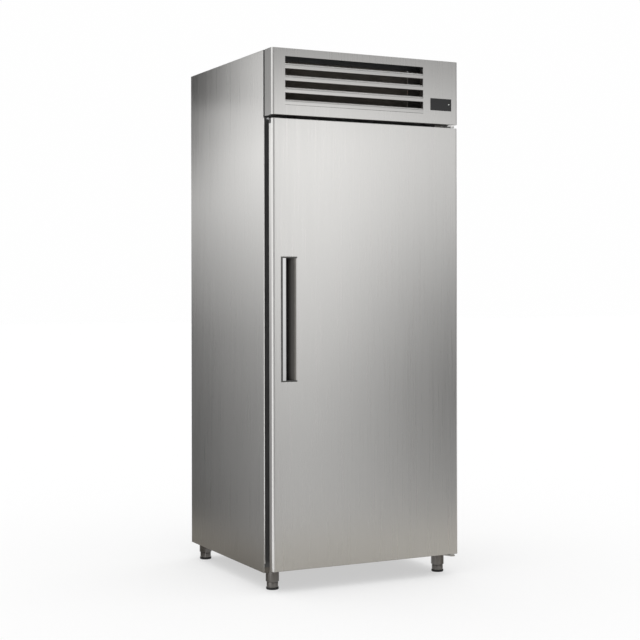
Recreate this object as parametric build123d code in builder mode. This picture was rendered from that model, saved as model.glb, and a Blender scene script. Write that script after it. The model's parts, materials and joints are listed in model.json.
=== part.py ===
from build123d import *
import os
from math import atan, cos, degrees, radians

# Commercial upright freezer, one door. Millimetres. X is the width, with the hinges on the +X side.
# The door faces -Y. Z is up from the floor. The origin is on the floor, under the middle of the cabinet.

# Overall size
width = 800
depth = 800
height = 2000
front_stack = 75  # the door and the header stand this far ahead of the side panels
foot_height = 65
header_height = 246
door_gap = 13  # between the header and the door
door_lift = 16  # from the cabinet's underside up to the door's

# Insulated walls
side_wall = 60
rear_wall = 60
ceiling_wall = 62
floor_wall = 65

# Sheet metal
sheet = 1
bend = 2  # outside radius of a tight fold
corner_bend = 10  # front corners of the door and the header
flange = 15

# Insulation
foam_joint = 0.3

# Front frame
frame_gauge = 3
lip_depth = 15
opening_radius = 3
sill_height = 21

# Door
door_side_gap = 1
skin_return = 28
cap_height = 18
gasket_gap = 0.4
gasket_inset = 16
gasket_width = 20
gasket_head = 7
gasket_neck = 4.6
gasket_neck_width = 8
gasket_base = 3
gasket_base_width = 12
gasket_round = 1.5
edge_inset = 15  # the edge frame tapers in by this much towards the cabinet
edge_wall = 10
edge_flange_gauge = 4
edge_flange = 34
panel_border = 8
bulge_depth = 11
bulge_inset = 30
bulge_slope = 40
bulge_radius = 30

# Handle
handle_inset = 35  # from the door's free edge
handle_width = 65.5
handle_height = 460
handle_level = 1004  # middle of the handle above the floor
handle_cap = 5
handle_depth = 35
tray_wall = 2.5
tray_rim = 7
grip_seat = 6
grip_width = 15
grip_gauge = 2.5
grip_bend = 3
grip_lip = 8
roll_radius = 25  # the skin rolls into the recess on its right-hand side

# Hinges
pin_inset = 22  # from the cabinet's side
pin_setback = 14  # from the front
pin_radius = 5
pin_clearance = 0.05
pin_tip_gap = 2
bush_length = 16
bush_radius = 8
bush_flange = 1.5
bush_flange_radius = 11
shoulder_radius = 9
shoulder_gap = 0.2
lower_shoulder = 6
upper_shoulder = 4
arm_radius = 12
arm_gauge = 4
bracket_reach = 38  # from the pin towards the middle of the door
bracket_overlap = 4  # from the pin towards the side
bracket_gauge = 4
bracket_rise = 21
screw_rise = 15
screw_spacing = 22
screw_radius = 3
screw_head_radius = 6
screw_head = 3.5
screw_round = 1.2
blank_inset = 18
blank_drop = 7

# Header
seam = 12.5  # between the header's returns and the cabinet's face
seal_inset = 3
seal_width = 13
post_gauge = 2
post_bend = 2.5
post_width = 25
crossbar_height = 35
grille_inset = 54
grille_width = 589
grille_lift = 37.5
blade_count = 4
blade_pitch = 44.6
blade_height = 21.5
blade_bullnose = 10
blade_lip = 12
blade_shelf = 22
end_plate_depth = 24
end_plate_foot = 12
controller_width = 95
controller_height = 47
controller_inset = 30  # from the header's right-hand edge
controller_lift = 52
controller_rim = 3
controller_flange = 5
controller_depth = 55
window_gauge = 1.5
window_recess = 0.4

# Feet
foot_inset = 41
foot_front_setback = 16
foot_rear_setback = 52
leg_radius = 26
leg_drop = 34.5
leg_cap = 5
leg_chamfer = 1.5
stud_radius = 5
stud_reach = 12
foot_radius = 23.5
foot_clearance = 0.3
pad_height = 8
pad_round = 2.5
groove_depth = 1.2
groove_width = 2.5
groove_drop = 6

# Storage fittings
rack_depth = 12
rack_face = 25
rack_sheet = 1.5
rack_bend = 3
rack_offset = 215
rack_margin = 25
slot_pitch = 90
slot_start = 20
slot_width = 12
slot_height = 4
slot_play = 0.4
hook_reach = 2.5
runner_sheet = 1.5
runner_bend = 2.5
runner_length = 480
runner_leg = 20
runner_rise = 18
runner_slots = (3, 7, 11)  # the slots that carry runners, counted from the lowest
shelf_play = 1.5
shelf_depth = 530
rim_wire = 4
rim_corner = 14
cross_wire = 2.5
cross_count = 17
weld_depth = 1

# Evaporator, under the storage ceiling
evaporator_width = 600
evaporator_depth = 290
evaporator_height = 125
evaporator_sheet = 1.5
evaporator_bend = 4
outlet_count = 12
outlet_pitch = 40
outlet_width = 10
outlet_height = 70
evaporator_fan_radius = 70
evaporator_fan_setback = 95
evaporator_fan_lift = 12
evaporator_coil_width = 480
evaporator_coil_depth = 90
evaporator_coil_height = 100
evaporator_motor_height = 45
motor_post_radius = 17
guard_rings = 4
guard_wire = 2
guard_spokes = 6

# Refrigeration unit, on the roof deck
tray_sheet = 1.5
tray_edge = 12
tray_gap = 30  # to the sides and the rear
tray_front_gap = 5
tray_radius = 8
coil_width = 570
coil_height = 208
coil_depth = 60
coil_inset = 65  # from the cabinet's left side
coil_lift = 10
coil_setback = 33
fin_pitch = 15
fin_gauge = 1.2
fin_depth = 8
coil_plate = 2
tube_radius = 4.5
tube_rows = 8
shroud_sheet = 1.5
collar_depth = 30
condenser_fan_radius = 88
fan_tip_gap = 6
fan_blades = 5
fan_gap = 6
blade_gauge = 1.6
root_chord = 30
tip_chord = 50
root_pitch = 35
tip_pitch = 22
hub_radius = 22
hub_length = 24
shaft_radius = 3
shaft_clearance = 0.05
shaft_reach = 20
shaft_end_gap = 1
motor_radius = 34
motor_length = 50
motor_gap = 5
motor_round = 6
arm_count = 3
motor_arm_width = 12
motor_arm_gauge = 3
motor_arm_gap = 0.5
compressor_radius = 82
compressor_height = 185
compressor_lower_round = 28
compressor_upper_round = 55
weld_ring_radius = 84
weld_ring_height = 7
compressor_inset = 185  # from the cabinet's right side
compressor_setback = 290  # from its rear
plate_gauge = 3
plate_length = 200
plate_width = 160
plate_round = 15
grommet_radius = 11
grommet_height = 12
grommet_inset = 18
grommet_groove = 2
cover_width = 60
cover_height = 70
cover_depth = 28
cover_round = 5
pipe_radius = 4
pipe_bend = 14
capillary_radius = 1.5
capillary_gap = 20  # from the compressor's plate
pipe_stand = 40  # how far a pipe stands off what it leaves
drier_radius = 11
drier_length = 110
suction_height = 95
discharge_drop = 5  # below the round of the shell's upper edge
box_width = 120
box_length = 200
box_height = 110
box_round = 6
box_lid = 4
box_lid_step = 3
box_inset = 110  # from the cabinet's left side
box_setback = 360
gland_radius = 11
gland_length = 22
gland_bore = 4.5
gland_collar_radius = 9

# Places worked out from the sizes above
half = width / 2
front = -depth / 2
rear = depth / 2
face = front + front_stack  # the plane of the side panels' front edges
cabinet_floor = foot_height
sill_top = cabinet_floor + sill_height
header_floor = height - header_height
inner_half = half - side_wall
inner_rear = rear - rear_wall
inner_floor = cabinet_floor + floor_wall
inner_top = header_floor - ceiling_wall
inner_height = inner_top - inner_floor
inner_middle = (inner_floor + inner_top) / 2
foot_places = [
    (side * (half - foot_inset), y)
    for y in (face + foot_front_setback, rear - foot_rear_setback)
    for side in (-1, 1)
]

door_top = header_floor - door_gap
door_floor = cabinet_floor + door_lift
door_half = half - door_side_gap
door_height = door_top - door_floor
door_middle = (door_top + door_floor) / 2
skin_rear = front + skin_return
gasket_depth = gasket_head + gasket_neck + gasket_base
door_back = face - gasket_gap - gasket_depth
edge_depth = door_back - skin_rear
edge_slope = degrees(atan(edge_inset / edge_depth))
edge_step = edge_inset + edge_flange  # from the door's edge to the edge frame's window

handle_left = handle_inset - door_half
handle_right = handle_left + handle_width
handle_floor = handle_level - handle_height / 2
handle_top = handle_floor + handle_height
handle_back = front + handle_depth + tray_wall
roll_left = handle_right - roll_radius
roll_back = front + roll_radius

pin_x = half - pin_inset
pin_y = front + pin_setback
bracket_left = pin_x - bracket_reach
bracket_right = pin_x + bracket_overlap
bracket_middle = (bracket_left + bracket_right) / 2
lower_arm_top = door_floor - lower_shoulder
upper_arm_floor = door_top + upper_shoulder
screw_columns = [bracket_middle + side * screw_spacing / 2 for side in (-1, 1)]
lower_screw_places = [(x, lower_arm_top + screw_rise) for x in screw_columns]
upper_screw_places = [(x, upper_arm_floor + arm_gauge + screw_rise) for x in screw_columns]
blank_screw_place = (blank_inset - half, header_floor - blank_drop)

seal_middle = half - seal_inset - seal_width / 2
post_floor = header_floor + crossbar_height
header_top = height - bend
post_top = header_top - crossbar_height
header_screw_places = [
    (side * seal_middle, header_floor + rise * header_height)
    for side in (-1, 1)
    for rise in (0.3, 0.8)
]
grille_height = blade_count * blade_pitch
grille_floor = header_floor + grille_lift
grille_left = grille_inset - half
grille_middle = grille_left + grille_width / 2
controller_x = half - controller_inset - controller_width / 2
controller_z = header_floor + controller_lift + controller_height / 2

rack_x = inner_half - rack_depth  # the plane of the rack posts' faces
rack_floor = inner_floor + rack_margin
rack_top = inner_top - rack_margin
slot_count = int((rack_top - rack_floor - 2 * slot_start) // slot_pitch) + 1
slot_levels = [rack_floor + slot_start + slot_pitch * index for index in range(slot_count)]
runner_half = rack_x - runner_sheet
runner_floors = [slot_levels[slot] - runner_rise / 2 for slot in runner_slots]
shelf_half = runner_half - shelf_play

evaporator_front = inner_rear - evaporator_depth
evaporator_floor = inner_top - evaporator_height
evaporator_fan_y = evaporator_front + evaporator_fan_setback
evaporator_hole = evaporator_fan_radius + fan_tip_gap
evaporator_coil_y = inner_rear - evaporator_coil_depth / 2
evaporator_rotor_z = evaporator_floor + evaporator_fan_lift

unit_floor = header_floor + tray_sheet
unit_front = face + post_width + tray_front_gap
coil_floor = unit_floor + coil_lift
coil_front = face + coil_setback
coil_rear = coil_front + coil_depth
coil_y = (coil_front + coil_rear) / 2
coil_shift = coil_inset - half + coil_width / 2
coil_middle = coil_floor + coil_height / 2
coil_end = coil_shift + coil_width / 2
row_pitch = coil_height / tube_rows
tube_levels = [coil_floor + row_pitch * (row + 0.5) for row in range(tube_rows)]
shroud_rear = coil_rear + shroud_sheet
condenser_hub_y = coil_rear + fan_gap
condenser_motor_y = condenser_hub_y + hub_length + motor_gap
compressor_x = half - compressor_inset
compressor_y = rear - compressor_setback
compressor_floor = unit_floor + grommet_height + plate_gauge
discharge_z = compressor_floor + compressor_height - compressor_upper_round - discharge_drop
pipe_x = coil_end + pipe_stand
pipe_y = evaporator_coil_y
suction_level = header_floor + suction_height
evaporator_pipe_z = inner_top - evaporator_coil_height / 3
drier_start = coil_y + pipe_stand
drier_end = drier_start + drier_length
box_x = box_inset - half
box_y = rear - box_setback

bore_radius = shaft_radius + shaft_clearance

stand = (Align.CENTER, Align.CENTER, Align.MIN)
hang = (Align.CENTER, Align.CENTER, Align.MAX)

os.makedirs("parts", exist_ok=True)


def write(piece, name):
    """Label the finished piece and write its file."""
    piece.part.label = name
    export_step(piece.part, f"parts/{name}.step")


def facing_front(y):
    """A plane across the cabinet at this y. Its x and y are the model's X and Z, and it faces -Y."""
    return Plane.XZ.offset(-y)


def facing_rear(y):
    """A plane across the cabinet at this y. It faces +Y, and its y runs down."""
    return Plane(origin=(0, y, 0), x_dir=(1, 0, 0), z_dir=(0, 1, 0))


def block(x, y, z, mode=Mode.ADD):
    """A box between two values on each axis."""
    with Locations(((x[0] + x[1]) / 2, (y[0] + y[1]) / 2, (z[0] + z[1]) / 2)):
        return Box(x[1] - x[0], y[1] - y[0], z[1] - z[0], mode=mode)


def folded(points, radius, gauge, side):
    """The section of a folded sheet, with its outer face along the points."""
    with BuildSketch() as section:
        with BuildLine():
            FilletPolyline(*points, radius=radius)
            offset(amount=gauge, side=side)
        make_face()
    return section.sketch


def pan_outline(half_width, front_y, back_y, radius):
    """A plan outline whose two front corners are round."""
    with BuildSketch() as outline:
        with Locations((0, (front_y + back_y) / 2)):
            Rectangle(2 * half_width, back_y - front_y)
        fillet(outline.vertices().group_by(Axis.Y)[0], radius)
    return outline.sketch


def opening(growth):
    """The storage opening's outline, grown all round."""
    with BuildSketch() as outline:
        with Locations((0, inner_middle)):
            RectangleRounded(
                2 * (inner_half + growth), inner_height + 2 * growth, opening_radius + growth
            )
    return outline.sketch


def door_ring(inset, width_across):
    """A rectangular ring, drawn on a plane that faces the rear, this far in from the door's edges."""
    with BuildSketch() as ring:
        with Locations((0, -door_middle)):
            Rectangle(2 * (door_half - inset), door_height - 2 * inset)
            inner = inset + width_across
            Rectangle(2 * (door_half - inner), door_height - 2 * inner, mode=Mode.SUBTRACT)
    return ring.sketch


def door_rectangle(inset, radius=0):
    """A rectangle, drawn on a plane that faces the rear, this far in from the door's edges."""
    with BuildSketch() as outline:
        with Locations((0, -door_middle)):
            Rectangle(2 * (door_half - inset), door_height - 2 * inset)
        if radius:
            fillet(outline.vertices(), radius)
    return outline.sketch


def fan_rotor(hub, radius):
    """A fan of twisted blades with its hub and shaft. The hub plane's z runs along the shaft."""
    with BuildPart() as rotor:
        with BuildSketch(hub):
            Circle(hub_radius)
        extrude(amount=hub_length)
        with BuildSketch(hub.offset(hub_length)):
            Circle(shaft_radius)
        extrude(amount=motor_gap + shaft_reach)
        for index in range(fan_blades):
            turn = Rot(Z=index * 360 / fan_blades)
            spoke = Plane(hub.offset(hub_length / 2).location * turn)
            for reach, chord, pitch in (
                (hub_radius / 2, root_chord, root_pitch),
                (radius, tip_chord, tip_pitch),
            ):
                place = spoke.origin + spoke.x_dir * reach
                across = Plane(origin=place, x_dir=spoke.y_dir, z_dir=spoke.x_dir)
                with BuildSketch(Plane(across.location * Rot(Z=pitch))):
                    Rectangle(chord, blade_gauge)
            loft()
    return rotor.part


# Side panels, each one sheet with a rear and a top flange
with BuildPart() as left_side_panel:
    with BuildSketch(Plane.XY.offset(cabinet_floor)):
        add(folded([(-half, face), (-half, rear), (flange - half, rear)], bend, sheet, Side.RIGHT))
    extrude(amount=height - bend - cabinet_floor)
    with BuildSketch(facing_front(face)):
        top_path = [(-half, height - flange), (-half, height), (flange - half, height)]
        add(folded(top_path, bend, sheet, Side.RIGHT))
    extrude(amount=face + bend - rear)
write(left_side_panel, "left_side_panel")

with BuildPart() as right_side_panel:
    mirror(left_side_panel.part, about=Plane.YZ)
write(right_side_panel, "right_side_panel")

# Rear panel, inside the side panels' rear flanges
with BuildPart() as rear_panel:
    block((bend - half, half - bend), (rear - 2 * sheet, rear - sheet), (cabinet_floor, header_floor))
write(rear_panel, "rear_panel")

# Base panel, folded up at the front into the sill that shows under the front frame
with BuildPart() as base_panel:
    with BuildSketch(Plane.YZ.offset(sheet - half)):
        base_path = [(rear - 2 * sheet, cabinet_floor), (face, cabinet_floor), (face, sill_top)]
        add(folded(base_path, bend, sheet, Side.RIGHT))
    extrude(amount=2 * (half - sheet))
    with Locations(*[(x, y, cabinet_floor + sheet) for x, y in foot_places]):
        Hole(stud_radius, depth=sheet)
write(base_panel, "base_panel")

# Roof deck, the cold space's outer ceiling and the floor of the refrigeration unit
with BuildPart() as roof_deck:
    block(
        (sheet - half, half - sheet),
        (face + frame_gauge, rear - 2 * sheet),
        (header_floor - sheet, header_floor),
    )
    with Locations((pipe_x, pipe_y, header_floor)):
        Hole(pipe_radius, depth=sheet)
write(roof_deck, "roof_deck")

# Front frame, the plastic breaker between the outer and the inner steel, with a lip into the opening
with BuildPart() as front_frame:
    with BuildSketch(facing_front(face)):
        with Locations((0, (sill_top + header_floor) / 2)):
            Rectangle(2 * (half - sheet), header_floor - sill_top)
        add(opening(0), mode=Mode.SUBTRACT)
    extrude(amount=-frame_gauge)
    with BuildSketch(facing_front(face + frame_gauge)):
        add(opening(frame_gauge))
        add(opening(0), mode=Mode.SUBTRACT)
    extrude(amount=frame_gauge - lip_depth)
    with Locations(facing_front(face)):
        with Locations(*lower_screw_places, blank_screw_place):
            Hole(screw_radius, depth=frame_gauge)
write(front_frame, "front_frame")

# Inner liner, a steel tank whose front edge meets the breaker's lip
with BuildPart() as inner_liner:
    with BuildSketch(facing_front(face + lip_depth)):
        add(opening(sheet))
    extrude(amount=face + lip_depth - inner_rear - sheet)
    with BuildSketch(facing_front(face + lip_depth)):
        add(opening(0))
    extrude(amount=face + lip_depth - inner_rear, mode=Mode.SUBTRACT)
    with Locations((pipe_x, pipe_y, inner_top + sheet)):
        Hole(pipe_radius, depth=sheet)
write(inner_liner, "inner_liner")

# Foam insulation: a floor, a roof, two side slabs and a rear slab, with hairline joints between them
with BuildPart() as cabinet_foam:
    foam_half = half - sheet
    cavity_half = inner_half + sheet
    foam_front = face + frame_gauge
    foam_rear = rear - 2 * sheet
    slab_heights = (inner_floor - sheet + foam_joint, inner_top + sheet - foam_joint)
    for slab_floor, slab_top in (
        (cabinet_floor + sheet, inner_floor - sheet),
        (inner_top + sheet, header_floor - sheet),
    ):
        block((-foam_half, foam_half), (foam_front, foam_rear), (slab_floor, slab_top))
    for edges in ((-foam_half, -cavity_half), (cavity_half, foam_half)):
        block(edges, (foam_front, foam_rear), slab_heights)
    rear_slab_half = cavity_half - foam_joint
    block((-rear_slab_half, rear_slab_half), (inner_rear + sheet, foam_rear), slab_heights)
    with BuildSketch(facing_front(foam_front)):
        add(opening(frame_gauge))
    extrude(amount=frame_gauge - lip_depth, mode=Mode.SUBTRACT)
    with Locations((pipe_x, pipe_y, header_floor - sheet)):
        Hole(pipe_radius, depth=ceiling_wall)
    with Locations(*[(x, y, cabinet_floor + sheet) for x, y in foot_places]):
        Cylinder(stud_radius, stud_reach - sheet, align=stand, mode=Mode.SUBTRACT)
write(cabinet_foam, "cabinet_foam")

# Header frame: two crossbars and two posts, which carry the header and the upper hinge
with BuildPart() as header_frame:
    with BuildSketch(Plane.YZ.offset(sheet - half)):
        lower_path = [(face + post_width, header_floor), (face, header_floor), (face, post_floor)]
        add(folded(lower_path, post_bend, post_gauge, Side.RIGHT))
        upper_path = [(face + post_width, header_top), (face, header_top), (face, post_top)]
        add(folded(upper_path, post_bend, post_gauge, Side.LEFT))
    extrude(amount=2 * (half - sheet))
    with Locations(facing_front(face)):
        with Locations(*upper_screw_places):
            Hole(screw_radius, depth=post_gauge)
    with BuildSketch(Plane.XY.offset(post_floor)):
        post_path = [
            (sheet - half, face + post_width),
            (sheet - half, face),
            (sheet - half + post_width, face),
        ]
        add(folded(post_path, post_bend, post_gauge, Side.LEFT))
        mirror(about=Plane.YZ)
    extrude(amount=post_top - post_floor)
    with Locations(facing_front(face)):
        with Locations(*header_screw_places):
            Hole(screw_radius, depth=post_gauge)
write(header_frame, "header_frame")

# Header seals, the black strips that close the seam behind the header
with BuildPart() as header_seals:
    with BuildSketch(facing_front(face)):
        with Locations((-seal_middle, (header_floor + header_top) / 2)):
            Rectangle(seal_width, header_top - header_floor)
        mirror(about=Plane.YZ)
    extrude(amount=seam)
    with Locations(facing_front(face - seam)):
        with Locations(*header_screw_places):
            Hole(screw_radius, depth=seam)
write(header_seals, "header_seals")

# Header panel, a folded pan with its louvre and controller openings
with BuildPart() as header_panel:
    with BuildSketch(Plane.XY.offset(header_floor)):
        add(pan_outline(half, front, face - seam, corner_bend))
    extrude(amount=header_height)
    fillet(header_panel.faces().sort_by(Axis.Y)[0].edges().filter_by(Axis.X), bend)
    offset(amount=-sheet, openings=header_panel.faces().sort_by(Axis.Y)[-1])
    with BuildSketch(facing_front(front)):
        with Locations((grille_middle, grille_floor + grille_height / 2)):
            Rectangle(grille_width, grille_height)
        with Locations((controller_x, controller_z)):
            Rectangle(controller_width, controller_height)
    extrude(amount=-sheet, mode=Mode.SUBTRACT)
    with BuildSketch(facing_front(face - seam)):
        with Locations((-half + (sheet + seal_inset + seal_width) / 2, header_floor + header_height / 2)):
            Rectangle(seal_inset + seal_width - sheet, header_height - 2 * sheet)
        mirror(about=Plane.YZ)
    extrude(amount=sheet)
    with Locations(facing_front(face - seam - sheet)):
        with Locations(*header_screw_places):
            Hole(screw_radius, depth=sheet)
write(header_panel, "header_panel")

# Header screws, driven from inside the open top
with BuildPart() as header_screws:
    with BuildSketch(facing_rear(face + post_gauge)):
        with Locations(*[(x, -z) for x, z in header_screw_places]):
            Circle(screw_head_radius)
    extrude(amount=screw_head)
    fillet(header_screws.faces().group_by(Axis.Y)[-1].edges(), screw_round)
    with BuildSketch(facing_rear(face + post_gauge)):
        with Locations(*[(x, -z) for x, z in header_screw_places]):
            Circle(screw_radius)
    extrude(amount=-(post_gauge + seam + sheet))
write(header_screws, "header_screws")

# Louvre blades, each a folded strip with a bullnose along its top
with BuildPart() as louvre_blades:
    for index in range(blade_count):
        foot = grille_floor + index * blade_pitch
        with BuildSketch(Plane.YZ.offset(grille_left)):
            blade_path = [
                (front + blade_lip, foot),
                (front, foot),
                (front, foot + blade_height),
                (front + blade_shelf, foot + blade_height),
            ]
            add(folded(blade_path, [bend, blade_bullnose], sheet, Side.RIGHT))
        extrude(amount=grille_width)
write(louvre_blades, "louvre_blades")

# End plates, which carry the blades behind the header's opening
with BuildPart() as louvre_end_plates:
    with BuildSketch(Plane.XY.offset(grille_floor)):
        end_path = [
            (grille_left, front + end_plate_depth),
            (grille_left, front + sheet),
            (grille_left - end_plate_foot, front + sheet),
        ]
        add(folded(end_path, bend, sheet, Side.RIGHT))
        mirror(about=Plane.YZ.offset(grille_middle))
    extrude(amount=grille_height)
write(louvre_end_plates, "louvre_end_plates")

# Controller, a moulded body that fills its opening, with a dark window
with BuildPart() as controller_body:
    with BuildSketch(facing_front(front)):
        with Locations((controller_x, controller_z)):
            Rectangle(controller_width, controller_height)
    extrude(amount=-controller_flange)
    with BuildSketch(facing_front(front + controller_flange)):
        with Locations((controller_x, controller_z)):
            Rectangle(controller_width - 2 * controller_rim, controller_height - 2 * controller_rim)
    extrude(amount=controller_flange - controller_depth)
    with BuildSketch(facing_front(front)):
        with Locations((controller_x, controller_z)):
            Rectangle(controller_width - 2 * controller_rim, controller_height - 2 * controller_rim)
    extrude(amount=-(window_recess + window_gauge), mode=Mode.SUBTRACT)
write(controller_body, "controller_body")

with BuildPart() as controller_window:
    with BuildSketch(facing_front(front + window_recess)):
        with Locations((controller_x, controller_z)):
            Rectangle(controller_width - 2 * controller_rim, controller_height - 2 * controller_rim)
    extrude(amount=-window_gauge)
write(controller_window, "controller_window")

# Hinge brackets: a tapered arm round each pin, and a flange against the cabinet's face
with BuildPart() as hinge_brackets:
    for arm_floor in (lower_arm_top - arm_gauge, upper_arm_floor):
        with BuildSketch(Plane.XY.offset(arm_floor)):
            with Locations((pin_x, pin_y)):
                Circle(arm_radius)
            with Locations((bracket_middle, face - bracket_gauge / 2)):
                Rectangle(bracket_right - bracket_left, bracket_gauge)
            make_hull()
        extrude(amount=arm_gauge)
        block(
            (bracket_left, bracket_right),
            (face - bracket_gauge, face),
            (arm_floor, arm_floor + arm_gauge + bracket_rise),
        )
        with Locations((pin_x, pin_y, arm_floor + arm_gauge)):
            Hole(pin_radius, depth=arm_gauge)
    with Locations(facing_front(face - bracket_gauge)):
        with Locations(*lower_screw_places, *upper_screw_places):
            Hole(screw_radius, depth=bracket_gauge)
write(hinge_brackets, "hinge_brackets")

# Hinge pins, pressed into the arms, each with a shoulder that spaces the door
with BuildPart() as hinge_pins:
    with Locations((pin_x, pin_y, lower_arm_top - arm_gauge)):
        Cylinder(pin_radius, arm_gauge + lower_shoulder + bush_length - pin_tip_gap, align=stand)
    with Locations((pin_x, pin_y, lower_arm_top)):
        Cylinder(shoulder_radius, lower_shoulder - shoulder_gap, align=stand)
    with Locations((pin_x, pin_y, upper_arm_floor + arm_gauge)):
        Cylinder(pin_radius, arm_gauge + upper_shoulder + bush_length - pin_tip_gap, align=hang)
    with Locations((pin_x, pin_y, upper_arm_floor)):
        Cylinder(shoulder_radius, upper_shoulder - shoulder_gap, align=hang)
write(hinge_pins, "hinge_pins")

# Screws of the two brackets, and the one that fills the spare hole above the door's free corner
with BuildPart() as hinge_screws:
    with BuildSketch(facing_front(face - bracket_gauge)):
        with Locations(*lower_screw_places, *upper_screw_places):
            Circle(screw_head_radius)
    extrude(amount=screw_head)
    fillet(hinge_screws.faces().group_by(Axis.Y)[0].edges(), screw_round)
    with BuildSketch(facing_front(face)):
        with Locations(blank_screw_place):
            Circle(screw_head_radius)
    extrude(amount=screw_head)
    fillet(hinge_screws.faces(Select.LAST).sort_by(Axis.Y)[0].edges(), screw_round)
    with BuildSketch(facing_front(face - bracket_gauge)):
        with Locations(*lower_screw_places):
            Circle(screw_radius)
    extrude(amount=-(bracket_gauge + frame_gauge))
    with BuildSketch(facing_front(face - bracket_gauge)):
        with Locations(*upper_screw_places):
            Circle(screw_radius)
    extrude(amount=-(bracket_gauge + post_gauge))
    with BuildSketch(facing_front(face)):
        with Locations(blank_screw_place):
            Circle(screw_radius)
    extrude(amount=-frame_gauge)
write(hinge_screws, "hinge_screws")

# Door skin, one sheet round the front and both sides, which rolls into the handle recess
with BuildPart() as door_skin:
    with BuildSketch(Plane.XY.offset(door_floor)):
        skin_path = [
            (-door_half, skin_rear),
            (-door_half, front),
            (door_half, front),
            (door_half, skin_rear),
        ]
        add(folded(skin_path, corner_bend, sheet, Side.LEFT))
    extrude(amount=door_height)
    block(
        (handle_left, handle_right),
        (front, front + sheet),
        (handle_floor, handle_top),
        mode=Mode.SUBTRACT,
    )
    for side in (-1, 1):
        with Locations((side * (door_half - sheet / 2), (front + corner_bend + skin_rear) / 2, door_top)):
            Box(sheet, skin_return - corner_bend, 2 * cap_height, mode=Mode.SUBTRACT)
    with BuildSketch(Plane.XY.offset(handle_floor + handle_cap)):
        with BuildLine():
            CenterArc((handle_right, roll_back), roll_radius, 180, 90)
            Line((handle_right, front), (handle_right, front + sheet))
            CenterArc((handle_right, roll_back), roll_radius - sheet, 180, 90)
            Line((roll_left + sheet, roll_back), (roll_left, roll_back))
        make_face()
    extrude(amount=handle_height - 2 * handle_cap)
write(door_skin, "door_skin")

# Door foam, between the skin and the inner panel, with the pocket for the handle tray
with BuildPart() as door_foam:
    with BuildSketch(Plane.XY.offset(door_floor + cap_height)):
        add(pan_outline(door_half - sheet, front + sheet, skin_rear, corner_bend - sheet))
    extrude(amount=door_height - 2 * cap_height)
    with BuildSketch(facing_rear(skin_rear)):
        add(door_rectangle(edge_wall))
    extrude(amount=edge_depth - edge_flange_gauge, taper=edge_slope)
    with BuildSketch(facing_rear(door_back - edge_flange_gauge)):
        add(door_rectangle(edge_step))
    extrude(amount=edge_flange_gauge)
    with BuildSketch(facing_rear(door_back)):
        add(door_rectangle(edge_step + bulge_inset, bulge_radius))
    extrude(amount=bulge_depth - sheet, taper=bulge_slope)
    with BuildSketch(Plane.XY.offset(handle_floor + handle_cap)):
        with BuildLine():
            Polyline(
                (roll_left + sheet, roll_back),
                (roll_left + tray_wall, roll_back),
                (roll_left + tray_wall, handle_back),
                (handle_left, handle_back),
                (handle_left, front + sheet),
                (handle_right, front + sheet),
            )
            CenterArc((handle_right, roll_back), roll_radius - sheet, 180, 90)
        make_face()
    extrude(amount=handle_height - 2 * handle_cap, mode=Mode.SUBTRACT)
    for cap_floor in (handle_floor, handle_top - handle_cap):
        block(
            (handle_left, handle_right),
            (front + sheet, handle_back),
            (cap_floor, cap_floor + handle_cap),
            mode=Mode.SUBTRACT,
        )
write(door_foam, "door_foam")

# End caps of the door, which close the skin above and below and hold the hinge bushes
with BuildPart() as door_end_caps:
    for cap_floor in (door_floor, door_top - cap_height):
        with BuildSketch(Plane.XY.offset(cap_floor)):
            add(pan_outline(door_half - sheet, front + sheet, skin_rear, corner_bend - sheet))
        extrude(amount=cap_height)
    for side in (-1, 1):
        with Locations((side * (door_half - sheet / 2), (front + corner_bend + skin_rear) / 2, door_top)):
            Box(sheet, skin_return - corner_bend, cap_height, align=hang)
    with Locations(Location((pin_x, pin_y, door_top)), Location((pin_x, pin_y, door_floor), (180, 0, 0))):
        CounterBoreHole(bush_radius, bush_flange_radius, bush_flange, depth=bush_length)
write(door_end_caps, "door_end_caps")

# Hinge bushes, flanged nylon sleeves that turn on the pins
with BuildPart() as hinge_bushes:
    with Locations(Location((pin_x, pin_y, door_top)), Location((pin_x, pin_y, door_floor), (180, 0, 0))):
        Cylinder(bush_radius, bush_length, align=hang)
        Cylinder(bush_flange_radius, bush_flange, align=hang)
        Cylinder(pin_radius + pin_clearance, bush_length, align=hang, mode=Mode.SUBTRACT)
write(hinge_bushes, "hinge_bushes")

# Edge frame, the black moulding behind the skin, tapered so that the door clears its hinge side
with BuildPart() as door_edge_frame:
    with BuildSketch(facing_rear(skin_rear)):
        add(door_rectangle(0))
    extrude(amount=edge_depth, taper=edge_slope)
    with BuildSketch(facing_rear(skin_rear)):
        add(door_rectangle(edge_wall))
    extrude(amount=edge_depth - edge_flange_gauge, taper=edge_slope, mode=Mode.SUBTRACT)
    with BuildSketch(facing_rear(skin_rear)):
        add(door_rectangle(edge_step))
    extrude(amount=edge_depth, mode=Mode.SUBTRACT)
write(door_edge_frame, "door_edge_frame")

# Inner panel of the door, pressed out towards the storage space
with BuildPart() as door_inner_panel:
    with BuildSketch(facing_rear(door_back)):
        add(door_rectangle(edge_step - panel_border))
    extrude(amount=sheet)
    with BuildSketch(facing_rear(door_back)):
        add(door_rectangle(edge_step + bulge_inset - sheet / cos(radians(bulge_slope)), bulge_radius))
    extrude(amount=bulge_depth, taper=bulge_slope)
    with BuildSketch(facing_rear(door_back)):
        add(door_rectangle(edge_step + bulge_inset, bulge_radius))
    extrude(amount=bulge_depth - sheet, taper=bulge_slope, mode=Mode.SUBTRACT)
write(door_inner_panel, "door_inner_panel")

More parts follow.
